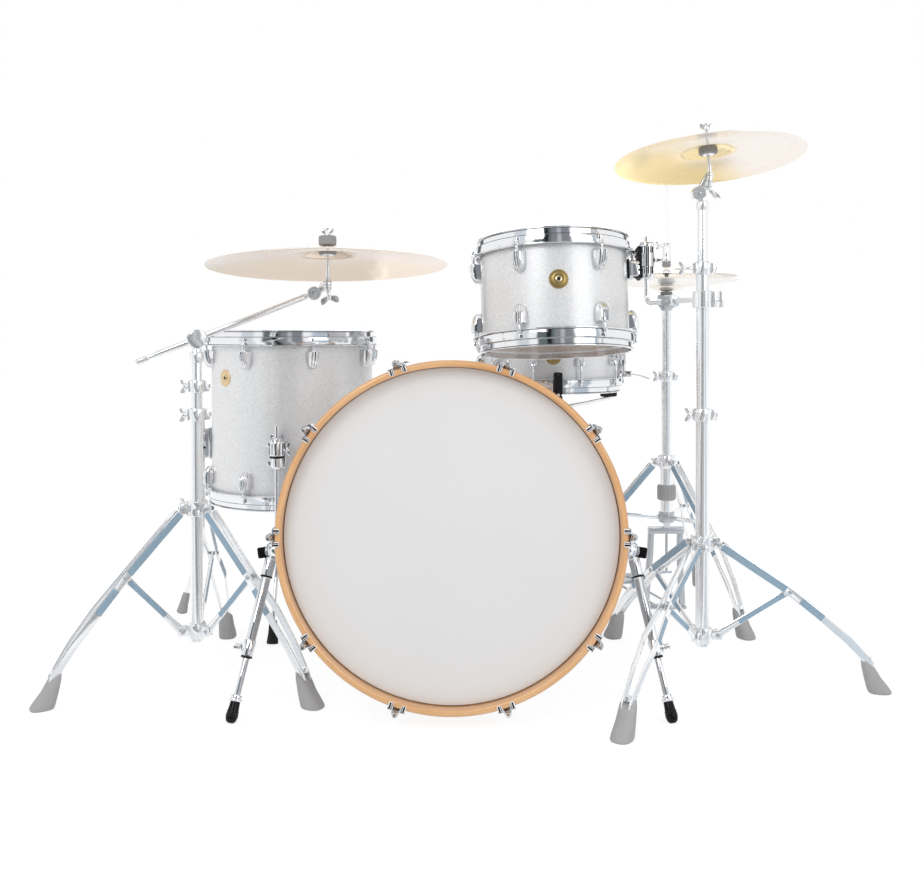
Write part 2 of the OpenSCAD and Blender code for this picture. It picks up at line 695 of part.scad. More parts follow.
module right_cymbal() { color(bronze) in_right_cymbal() cymbal(right_cymbal_r, 17, 52, 14); }

// ---------------------------------------------------------------- snare and its stand

module in_snare() { translate(snare_at) rotate([0, 0, snare_turn]) children(); }

module snare_shell() { color(wrap) in_snare() drum_shell(snare_r, snare_depth); }

module snare_heads() {
    color(film) in_snare() both_ends(snare_depth) drum_head(snare_r);
    // snare wires under the lower head
    color(chrome) in_snare() translate([0, 0, -2.8]) block([310, 42, 1.4]);
}

module snare_hoops() {
    color(chrome) in_snare() both_ends(snare_depth) steel_hoop(snare_r, 10, 18);
}

// Rods, lugs, throw-off and butt of the snare
module snare_fittings() {
    color(chrome) in_snare() {
        both_ends(snare_depth) ring_of(10, 18) {
            tension_rod(snare_r);
            translate([snare_r + rod_out, 0, -64]) cylinder(r = 2.9, h = 30);
        }
        translate([0, 0, snare_depth / 2 + 21.5]) ring_of(10, 18) lug(snare_r);
        translate([snare_r + 0.3, -16, 28]) cube([20, 32, 62]);
        translate([-snare_r - 14.3, -14, 34]) cube([14, 28, 44]);
        for (s = [-1, 1]) translate([snare_r + 18, s * 10 - 2, 27]) cube([16, 4, 16]);
        translate([snare_r + 27, 10, 35]) rotate([90, 0, 0]) cylinder(r = 2.5, h = 20);
    }
}

module snare_lever() {
    color(chrome) in_snare() translate([snare_r + 27, 0, 35]) {
        translate([0, 6, 0]) rotate([90, 0, 0]) pipe(5.5, 2.5 + run, 12);
        rotate([0, 14, 0]) translate([4.5, -5, -2]) cube([52, 10, 4]);
    }
}

module snare_stand() {
    color(chrome) translate([snare_at.x, snare_at.y, 0]) {
        difference() {
            union() {
                translate([0, 0, 62]) cylinder(r = 12.7, h = 358);
                translate([0, 0, 286]) cylinder(r = 20, h = 28);
                translate([0, 0, 70]) cylinder(r = 19, h = 22);
                tube_clamp(420, 12.7, 90);
                for (a = snare_turns) rotate([0, 0, a]) {
                    translate([15, -6.6, 292]) cube([18, 13.2, 16]);
                    bar([16, 0, 80], [110, 0, 185], 4);
                }
            }
            translate([0, 0, 120]) cylinder(r = 11 + run, h = 320);
        }
    }
    for (a = snare_turns) leg([snare_at.x, snare_at.y, 0], a, 300, 110, 187, 222);
}

// Tube with three arms that hook round the snare's lower hoop
module snare_basket() {
    color(chrome) translate([snare_at.x, snare_at.y, 0]) {
        translate([0, 0, 250]) cylinder(r = 11, h = 262);
        translate([0, 0, 500]) cylinder(r = 24, h = 22);
        for (a = [-90, 30, 150]) rotate([0, 0, a]) {
            bar([18, 0, 511], [212, 0, 538], 5);
            bar([212, 0, 534], [212, 0, 612], 5);
            color(rubber) {
                translate([200, -11, 560]) cube([18, 22, 56]);
                translate([172, -11, 536]) cube([46, 22, 23.5]);
            }
        }
    }
}

// ---------------------------------------------------------------- hi-hat

module hat_stand() {
    color(chrome) translate(hat_at) {
        difference() {
            union() {
                translate([0, 0, 224]) cylinder(r = 13, h = 390);
                translate([0, 0, 224]) cylinder(r = 16.5, h = 142);
                translate([0, 0, 283]) cylinder(r = 23, h = 38);
                translate([0, 0, 364]) cylinder(r = 21, h = 34);
                translate([0, 0, 226]) cylinder(r = 20, h = 26);
                tube_clamp(614, 13, 180);
                for (a = hat_turns) rotate([0, 0, a]) {
                    translate([15, -6.6, 370]) cube([20, 13.2, 20]);
                    bar([17, 0, 238], [142, 0, 246], 4);
                }
                translate([-44, -14, 198]) cube([88, 28, 14]);
                translate([-8, -8, 196]) cube([16, 16, 40]);
                for (s = [-1, 1]) translate([s * 38 - 5, -11, 6]) cube([10, 22, 204]);
                translate([-43, -16, 4]) cube([86, 32, 6]);
            }
            translate([0, 0, 330]) cylinder(r = hat_tube_r + run, h = 300);
            translate([0, 0, 180]) cylinder(r = 4, h = 300);
        }
        for (a = hat_turns) leg([0, 0, 0], a, 380, 142, 246, 288);
    }
    color(chrome) hat_heel_plate();
}

hat_turn = atan2(hat_heel.y - hat_at.y, hat_heel.x - hat_at.x);
hat_board = norm([hat_heel.x - hat_at.x, hat_heel.y - hat_at.y]);

// Plate under the player's heel, its hinge pin, and two rods to the stand's base
module hat_heel_plate() {
    translate([hat_heel.x, hat_heel.y, 0]) rotate([0, 0, hat_turn + 180]) {
        translate([-50, -40, 0]) cube([66, 80, 6]);
        for (s = [-1, 1]) {
            translate([-8, s * 36 - 4, 5]) cube([16, 8, 22]);
            bar([4, s * 22, 4.5], [hat_board - 12, s * 22, 6.5], 3);
        }
        translate([0, 38, hat_heel.z]) rotate([90, 0, 0]) cylinder(r = 3, h = 76);
    }
}

// Footboard, hinged at the heel; its toe carries the chain to the pull rod
module hat_pedal() {
    rise = 15;
    color(chrome) translate(hat_heel) rotate([0, 0, hat_turn + 180]) {
        for (s = [-1, 1]) translate([0, s * 24 + 7, 0]) rotate([90, 0, 0]) pipe(8, 3 + run, 14);
        rotate([0, -rise, 0]) {
            translate([7, -27, -2]) cube([hat_board / cos(rise) - 6, 54, 6]);
            for (s = [-1, 1]) translate([5, s * 24 - 5, -1.2]) cube([8, 10, 4.4]);
        }
    }
}

// Guide tube with the seat of the lower cymbal
module hat_upper_tube() {
    color(chrome) translate(hat_at) difference() {
        union() {
            translate([0, 0, 400]) cylinder(r = hat_tube_r, h = 397);
            translate([0, 0, 770]) cylinder(r1 = 12, r2 = 22, h = 16);
            translate([0, 0, 786]) cylinder(r = 22, h = 24);
            color(felt) translate([0, 0, 809.5]) cylinder(r = 15, h = 9.5);
        }
        translate([0, 0, 390]) cylinder(r = 3.6, h = 440);
    }
}

// Pull rod, chain and clutch with its felts
module hat_rod() {
    chain_z = hat_heel.z + hat_board * tan(15) + 6;
    color(chrome) translate(hat_at) {
        translate([0, 0, 190]) cylinder(r = 3, h = 917);
        translate([0, 0, chain_z]) block([10, 5, 195 - chain_z]);
        translate([0, 0, 858]) cylinder(r = 5.5, h = 60);
        translate([0, 0, 864]) cylinder(r = 10, h = 9);
        translate([0, 0, 908]) cylinder(r = 9.5, h = 36);
        translate([-22, 0, 936]) rotate([0, 90, 0]) cylinder(r = 4, h = 22);
        translate([-24, 0, 930]) block([5, 22, 12]);
        translate([0, 0, 897]) cylinder(r = 11, h = 12);
        color(felt) translate([0, 0, 884]) cylinder(r = 11, h = 13);
    }
}

module hat_cymbal() { cymbal(hat_r, 13, 50, 13); }

module hat_top_cymbal() {
    color(bronze) translate(hat_at + [0, 0, hat_z + hat_gap / 2]) hat_cymbal();
}

module hat_bottom_cymbal() {
    color(bronze) translate(hat_at + [0, 0, hat_z - hat_gap / 2]) mirror([0, 0, 1]) hat_cymbal();
}

// ---------------------------------------------------------------- bass pedal

module in_pedal() { translate([bass_x, 0, 0]) children(); }

// Base plate, hoop clamp, two posts bored for the axle, heel plate and rods
module pedal_frame() {
    color(chrome) in_pedal() {
        translate([-38, -140, 0.5]) cube([76, 104, 5]);
        translate([-16, -124, bass_rear_lift + 13.5]) cube([32, 74, 6]);
        translate([-10, -66, 5]) cube([20, 14, 18]);
        difference() {
            union() {
                for (s = [-1, 1]) translate([s * 46 - 5, pedal_axle_y - 9, 0]) cube([10, 18, 240]);
                translate([-50, pedal_axle_y - 9, 0]) cube([100, 18, 8]);
            }
            translate([-60, pedal_axle_y, pedal_axle_z]) rotate([0, 90, 0])
                cylinder(r = 4 + run, h = 120);
        }
        translate([-40, pedal_heel_y - 12, 0]) cube([80, 74, 6]);
        for (s = [-1, 1]) {
            translate([s * 38 - 4, pedal_heel_y - 8, 4]) cube([8, 16, 28]);
            bar([s * 28, pedal_axle_y, 4], [s * 28, pedal_heel_y, 4], 3);
        }
        translate([-40, pedal_heel_y, 24]) rotate([0, 90, 0]) cylinder(r = 3, h = 80);
    }
}

// Footboard with the chain that pulls the cam
module pedal_board() {
    reach = pedal_heel_y - pedal_axle_y + 22;
    rise = 14;
    color(chrome) in_pedal() translate([0, pedal_heel_y, 24]) {
        for (s = [-1, 1]) translate([s * 24 - 8, 0, 0]) rotate([0, 90, 0]) pipe(8, 3 + run, 16);
        rotate([-rise, 0, 0]) {
            translate([-37, -reach / cos(rise), -2]) cube([74, reach / cos(rise) - 13, 6]);
            for (s = [-1, 1]) translate([s * 24 - 6, -16, -1.2]) cube([12, 11, 4.4]);
        }
        translate([-4, -reach, reach * tan(rise)]) cube([8, 3, 110]);
    }
}

// Axle, cam, beater shaft and felt beater; at rest the beater leans to the player
module pedal_beater() {
    back = 48;
    color(chrome) in_pedal() translate([0, pedal_axle_y, pedal_axle_z]) {
        translate([-56, 0, 0]) rotate([0, 90, 0]) cylinder(r = 4, h = 112);
        translate([-7, 0, 0]) rotate([0, 90, 0]) cylinder(r = 17, h = 14);
        rotate([-back, 0, 0]) {
            translate([0, 0, -20]) cylinder(r = 3, h = 205);
            color(felt) translate([0, 21, 172]) rotate([90, 0, 0]) cylinder(r = 24, h = 42);
        }
    }
}

bass_shell();
bass_hoops();
bass_heads();
bass_fittings();
spur_left();
spur_right();
floor_shell();
floor_hoops();
floor_heads();
floor_fittings();
floor_leg_1();
floor_leg_2();
floor_leg_3();
left_tube();
left_collar();
left_leg_1();
left_leg_2();
left_leg_3();
left_brace_1();
left_brace_2();
left_brace_3();
left_mid_tube();
left_upper_tube();
boom_clamp();
boom_arm();
left_tilter();
left_cymbal();
right_tube();
right_collar();
right_leg_1();
right_leg_2();
right_leg_3();
right_brace_1();
right_brace_2();
right_brace_3();
right_mid_tube();
right_upper_tube();
right_tilter();
right_cymbal();
tom_shell();
tom_hoops();
tom_heads();
tom_fittings();
tom_arm();
snare_stand();
snare_basket();
snare_shell();
snare_hoops();
snare_fittings();
snare_heads();
snare_lever();
hat_stand();
hat_upper_tube();
hat_rod();
hat_top_cymbal();
hat_bottom_cymbal();
hat_pedal();
pedal_frame();
pedal_board();
pedal_beater();
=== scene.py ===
"""Looks of the acoustic drum kit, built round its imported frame. Lengths in the code are millimetres."""
import math

import bmesh
import bpy
from mathutils import Matrix, Vector


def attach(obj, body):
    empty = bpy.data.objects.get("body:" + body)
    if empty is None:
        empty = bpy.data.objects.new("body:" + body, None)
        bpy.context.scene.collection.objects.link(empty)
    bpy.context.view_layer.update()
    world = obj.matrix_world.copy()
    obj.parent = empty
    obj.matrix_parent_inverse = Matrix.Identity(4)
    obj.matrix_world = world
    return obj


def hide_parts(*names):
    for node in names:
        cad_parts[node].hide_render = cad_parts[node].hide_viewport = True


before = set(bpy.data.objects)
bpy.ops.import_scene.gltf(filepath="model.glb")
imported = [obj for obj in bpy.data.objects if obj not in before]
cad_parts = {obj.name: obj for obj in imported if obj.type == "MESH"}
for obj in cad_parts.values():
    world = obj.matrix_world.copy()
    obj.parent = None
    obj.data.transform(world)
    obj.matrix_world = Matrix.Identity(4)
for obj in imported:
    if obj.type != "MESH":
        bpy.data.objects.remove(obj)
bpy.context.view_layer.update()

MM = 0.001
UP = Vector((0, 0, 1))


# ------------------------------------------------------------------ placing

def at(x, y=0.0, z=0.0):
    return Matrix.Translation((x, y, z))


def turn(axis, degrees):
    return Matrix.Rotation(math.radians(degrees), 4, axis)


def flip_z(z=0.0):
    return at(0, 0, z) @ Matrix.Diagonal((1, 1, -1, 1))


def along(a, b):
    """Frame with its origin at a and +Z towards b."""
    d = Vector(b) - Vector(a)
    return Matrix.Translation(a) @ d.to_track_quat("Z", "Y").to_matrix().to_4x4()


def off(point, x, y, z):
    return point + Vector((x, y, z))


def squared(value, power):
    """Sine or cosine raised to a power but keeping its sign: pushes a round section towards a square."""
    return math.copysign(abs(value) ** power, value)


def ring(inner, outer, low, high, run=1.0, rise=2.0):
    """Section of a turned ring whose outer corners are chamfered by run and rise."""
    return [(inner, low), (outer - run, low), (outer, low + rise), (outer, high - rise), (outer - run, high),
            (inner, high)]


def sind(a):
    return math.sin(math.radians(a))


def cosd(a):
    return math.cos(math.radians(a))


# ------------------------------------------------------------------ materials

class Wiring:
    """Adds nodes to a tree; an input is a socket to link or a value to set."""

    def __init__(self, tree):
        self.tree = tree

    def node(self, kind, inputs=None, **fields):
        n = self.tree.nodes.new("ShaderNode" + kind)
        for key, value in fields.items():
            setattr(n, key, value)
        for key, value in (inputs or {}).items():
            if isinstance(value, bpy.types.NodeSocket):
                self.tree.links.new(value, n.inputs[key])
            else:
                n.inputs[key].default_value = value
        return n

    def math(self, operation, a, b=0.0):
        return self.node("Math", {0: a, 1: b}, operation=operation).outputs[0]

    def length(self, x, y):
        squares = self.math("ADD", self.math("MULTIPLY", x, x), self.math("MULTIPLY", y, y))
        return self.math("SQRT", squares)


class Shader(Wiring):
    """A principled material with small helpers for its nodes."""

    def __init__(self, name, colour, rough, metal=0.0):
        self.material = bpy.data.materials.new(name)
        self.material.use_nodes = True
        super().__init__(self.material.node_tree)
        self.bsdf = self.tree.nodes["Principled BSDF"]
        self.set("Base Color", (*colour, 1))
        self.set("Roughness", rough)
        self.set("Metallic", metal)

    def set(self, socket, value):
        self.bsdf.inputs[socket].default_value = value

    def link(self, out, socket):
        self.tree.links.new(out, self.bsdf.inputs[socket])

    def paint(self, factor, a, b):
        self.link(self.mix(factor, a, b), "Base Color")

    def roughen(self, value, low, high, to_low, to_high):
        self.link(self.span(value, low, high, to_low, to_high), "Roughness")

    def stretch(self, vector, scale):
        return self.node("Mapping", {"Vector": vector, "Scale": scale}).outputs[0]

    def place(self, scale=(1, 1, 1)):
        return self.stretch(self.node("TexCoord").outputs["Object"], scale)

    def flakes(self, scale, channel):
        """A random value for every cell of a fine pattern."""
        cells = self.node("TexVoronoi", {"Vector": self.place(), "Scale": scale}).outputs["Color"]
        return self.node("SeparateColor", {0: cells}).outputs[channel]

    def xyz(self):
        return self.node("SeparateXYZ", {0: self.place()}).outputs

    def noise(self, vector, scale, detail=2.0, rough=0.5):
        return self.node("TexNoise", {"Vector": vector, "Scale": scale, "Detail": detail,
                                      "Roughness": rough}).outputs["Fac"]

    def span(self, value, low, high, to_low, to_high, smooth=False):
        n = self.node("MapRange", {"Value": value, "From Min": low, "From Max": high,
                                   "To Min": to_low, "To Max": to_high})
        if smooth:
            n.interpolation_type = "SMOOTHSTEP"
        return n.outputs[0]

    def mix(self, factor, a, b):
        n = self.node("Mix", data_type="RGBA")
        for index, value in ((0, factor), (6, a), (7, b)):
            if isinstance(value, bpy.types.NodeSocket):
                self.tree.links.new(value, n.inputs[index])
            else:
                n.inputs[index].default_value = value if index == 0 else (*value, 1)
        return n.outputs[2]

    def radius(self):
        return self.length(*self.xyz()[:2])

    def bump(self, height, strength, distance=0.001):
        n = self.node("Bump", {"Height": height, "Strength": strength, "Distance": distance})
        self.link(n.outputs[0], "Normal")


def toned(colour, amount):
    return tuple(min(1, c * amount) for c in colour)


def polished(name, colour, rough, haze=0.0, metal=1.0):
    """Plated metal: uneven polish, faint handling marks and a trace of plating ripple."""
    s = Shader(name, colour, rough, metal)
    spot = s.noise(s.place(), 22, 3)
    s.roughen(spot, 0.3, 0.75, rough, rough + 0.07 + haze)
    dust = s.noise(s.place(), 90, 2)
    s.paint(s.span(dust, 0.45, 0.8, 0, 0.35), colour, toned(colour, 0.93))
    s.bump(s.noise(s.place(), 160, 2), 0.04, 0.0004)
    return s.material


def moulded(name, colour, rough, grain=220, strength=0.25):
    """Rubber or moulded plastic with a fine grain and slightly dusty high spots."""
    s = Shader(name, colour, rough)
    fine = s.noise(s.place(), grain, 3, 0.6)
    broad = s.noise(s.place(), 14, 2)
    light = tuple(min(1, c * 1.18 + min(c, 0.012)) for c in colour)
    s.paint(s.span(broad, 0.35, 0.7, 0, 0.7), colour, light)
    s.set("Specular IOR Level", 0.5 if max(colour) > 0.02 else 0.2)
    s.roughen(fine, 0.3, 0.7, rough - 0.08, rough + 0.1)
    s.bump(fine, strength, 0.0004)
    return s.material


def felted(name, colour):
    """Pressed wool: soft fibres in the colour and the surface."""
    s = Shader(name, colour, 0.95)
    fibre = s.noise(s.place((1, 1, 2.5)), 420, 4, 0.7)
    s.paint(s.span(fibre, 0.3, 0.7, 0, 1), toned(colour, 0.8), colour)
    s.bump(fibre, 0.5, 0.0008)
    s.set("Sheen Weight", 0.3)
    return s.material


def sparkle_wrap(name):
    """Silver glitter under clear film: tiny flakes of different brightness, with a gloss coat."""
    s = Shader(name, (0.8, 0.8, 0.81), 0.42, 0.45)
    tone = s.flakes(900.0, 0)
    fine_tone = s.flakes(1900.0, 1)
    cloud = s.noise(s.place(), 9, 3)
    coarse_tone = s.flakes(560.0, 2)
    base = s.mix(s.span(tone, 0, 1, 0, 1), (0.74, 0.745, 0.755), (0.98, 0.985, 0.99))
    base = s.mix(s.span(coarse_tone, 0.72, 0.9, 0, 0.34), base, (0.58, 0.59, 0.61))
    glint = s.math("MAXIMUM", s.span(fine_tone, 0.93, 0.97, 0, 1), s.span(coarse_tone, 0.14, 0.06, 0, 0.6))
    lit = s.mix(glint, base, (1, 1, 1))
    s.paint(s.span(cloud, 0.35, 0.7, 0, 0.08), lit, (0.66, 0.66, 0.68))
    s.roughen(tone, 0, 1, 0.34, 0.52)
    s.bump(tone, 0.08, 0.0003)
    s.set("Coat Weight", 0.5)
    s.set("Coat Roughness", 0.08)
    return s.material


def maple(name):
    """Lacquered maple bent into a hoop: grain runs round it, and painted shade darkens its inner and outer
    corners.
    """
    s = Shader(name, (0.62, 0.36, 0.17), 0.3)
    x, y, z = s.xyz()[:3]
    angle = s.math("ARCTAN2", y, x)
    r = s.radius()
    grain_at = s.node("CombineXYZ", {0: s.math("MULTIPLY", angle, 0.32), 1: z, 2: r}).outputs[0]
    stretched = s.stretch(grain_at, (5, 90, 90))
    streak = s.noise(stretched, 1.6, 6, 0.62)
    fine = s.noise(s.stretch(grain_at, (14, 400, 400)), 1.5, 3)
    patch = s.noise(s.stretch(grain_at, (3, 8, 8)), 1.0, 2)
    tone = s.mix(s.span(streak, 0.34, 0.66, 0, 1), (0.66, 0.335, 0.125), (0.88, 0.50, 0.235))
    tone = s.mix(s.span(patch, 0.4, 0.7, 0, 0.45), tone, (0.92, 0.60, 0.33))
    tone = s.mix(s.span(fine, 0.55, 0.75, 0, 0.3), tone, (0.42, 0.21, 0.09))
    # painted shade: the hoop's inner and outer corners are darkened, for the shadow line at the head and the
    # shaded outer edge
    edge = s.math("MAXIMUM", s.span(r, 0.3096, 0.3106, 0.35, 0, True),
                  s.span(r, 0.3196, 0.3214, 0, 0.6, True))
    s.paint(s.math("MULTIPLY", edge, 0.75), tone, (0.42, 0.17, 0.045))
    s.roughen(fine, 0.3, 0.7, 0.24, 0.38)
    s.bump(fine, 0.08, 0.0003)
    s.set("Coat Weight", 0.6)
    s.set("Coat Roughness", 0.12)
    return s.material


def raw_wood(name):
    """Unfinished wood with a straight grain."""
    s = Shader(name, (0.72, 0.52, 0.34), 0.6)
    grain = s.noise(s.place((30, 30, 3)), 3, 5, 0.6)
    s.paint(s.span(grain, 0.3, 0.7, 0, 1), (0.60, 0.40, 0.24), (0.82, 0.64, 0.45))
    s.bump(grain, 0.1, 0.0004)
    return s.material


def coated_film(name, colour, alpha=1.0, rough=0.42):
    """Polyester head: a sprayed coat with a faint tooth and a soft change of tone."""
    s = Shader(name, colour, rough)
    tooth = s.noise(s.place(), 700, 2)
    cloud = s.noise(s.place(), 5, 2)
    s.paint(s.span(cloud, 0.3, 0.7, 0, 0.5), colour, toned(colour, 1.03))
    s.roughen(tooth, 0.3, 0.7, rough - 0.05, rough + 0.08)
    s.bump(tooth, 0.05, 0.0002)
    if alpha < 1:
        s.set("Alpha", alpha)
    return s.material


def cymbal_bronze(name, colour, glow, warm_bell_and_painted_reflection, side):
    """Brilliant bronze: fine lathe grooves, soft tone rings, a warmer bell and a painted warm reflection on
    the side at `side` degrees.
    """
    s = Shader(name, colour, 0.22, 0.7)
    x, y, _ = s.xyz()[:3]
    r = s.radius()
    groove_at = s.node("CombineXYZ", {0: r, 1: 0.0, 2: 0.0}).outputs[0]
    fine = s.noise(s.stretch(groove_at, (1500, 1, 1)), 1.0, 2)
    rings = s.noise(s.stretch(groove_at, (38, 1, 1)), 1.0, 2)
    patch = s.noise(s.place(), 6, 2)
    tone = s.mix(s.span(rings, 0.35, 0.65, 0, 1), colour, glow)
    # painted reflection: the side towards `side` degrees is tinted warm, for the gold light the bronze
    # reflects there
    lean = s.math("ADD", s.math("MULTIPLY", x, cosd(side)),
                  s.math("MULTIPLY", y, sind(side)))
    lean = s.math("ADD", lean, s.math("MULTIPLY", s.math("SUBTRACT", patch, 0.5), 0.16))
    tone = s.mix(s.span(lean, -0.05, 0.09, 0, 1, True), tone, warm_bell_and_painted_reflection)
    tone = s.mix(s.span(r, 0.062, 0.050, 0, 0.8, True), tone, warm_bell_and_painted_reflection)
    s.paint(s.span(fine, 0.5, 0.8, 0, 0.16), tone, toned(colour, 0.85))
    s.roughen(fine, 0.3, 0.7, 0.17, 0.25)
    s.bump(s.math("MULTIPLY", fine, s.span(r, 0.17, 0.16, 0.6, 1.0)), 0.05, 0.0002)
    s.set("Anisotropic", 0.4)
    return s.material


CHROME = polished("chrome", (0.86, 0.87, 0.89), 0.05)
PALE = polished("pale_chrome", (0.95, 0.96, 0.975), 0.09, 0.03, 0.72)
# painted highlight: near-white, barely metallic finish for the bright stripes on the claw fingers
PAINTED_HIGHLIGHT = polished("painted_highlight", (0.97, 0.97, 0.98), 0.3, 0.05, 0.25)
# painted reflection: blue-grey strips on the flat faces of the stand legs and braces, for the bluish light
# they reflect
REFLECTION_STRIP = polished("painted_blue_reflection", (0.32, 0.45, 0.56), 0.34, 0.05, 0.15)
SHADE = polished("shaded_edge", (0.06, 0.062, 0.068), 0.3, 0.05, 0.6)
PALE_DARK = polished("pale_steel", (0.55, 0.58, 0.61), 0.3, 0.05, 0.7)
# cast steel; also laid as painted shade in the lug flutes and as painted dark reflection strips along the
# spur tubes
STEEL = polished("cast_steel_and_painted_shade", (0.52, 0.53, 0.55), 0.32, 0.08)
BRASS = polished("badge_brass", (0.47, 0.34, 0.13), 0.28, 0.08)
BRASS_PALE = polished("badge_brass_pale", (0.80, 0.62, 0.38), 0.34, 0.08)
GROMMET = polished("grommet", (0.72, 0.62, 0.42), 0.2)
# black rubber; also the painted shade inside the badges' vent holes
BLACK = moulded("black_rubber", (0.012, 0.012, 0.013), 0.5)
# black, used for the spur's hub block and as painted dark reflection lines on the claws
INK = moulded("black_lacquer_and_painted_reflection", (0.002, 0.002, 0.003), 0.75, 160, 0.05)
GLOSS_BLACK = moulded("gloss_black_rubber", (0.002, 0.002, 0.0025), 0.12, 60, 0.03)
GREY_RUBBER = moulded("grey_rubber", (0.41, 0.41, 0.415), 0.62)
GREY_FELT = felted("grey_felt", (0.36, 0.36, 0.37))
WHITE_FELT = felted("white_felt", (0.78, 0.77, 0.74))
WRAP = sparkle_wrap("silver_sparkle")
MAPLE = maple("maple_hoop")
WOOD = raw_wood("shell_inside")
FILM = coated_film("coated_head", (0.795, 0.795, 0.797))
FILM_WHITE = coated_film("coated_batter", (0.86, 0.86, 0.86))
FILM_CLEAR = coated_film("clear_head", (0.95, 0.88, 0.86), 0.28, 0.12)
FLESH = polished("flesh_hoop", (0.8, 0.8, 0.81), 0.35, 0.1)
BRONZE_PINK = cymbal_bronze("bronze_ride", (0.98, 0.86, 0.765), (1.0, 0.91, 0.83), (1.0, 0.84, 0.68), 98)
BRONZE_GOLD = cymbal_bronze("bronze_crash", (1.0, 0.91, 0.84), (1.0, 0.95, 0.89), (1.0, 0.80, 0.40), 142)
BRONZE_PALE = cymbal_bronze("bronze_hats", (0.97, 0.93, 0.88), (1.0, 0.97, 0.93), (0.98, 0.91, 0.80), 110)


# ------------------------------------------------------------------ mesh building

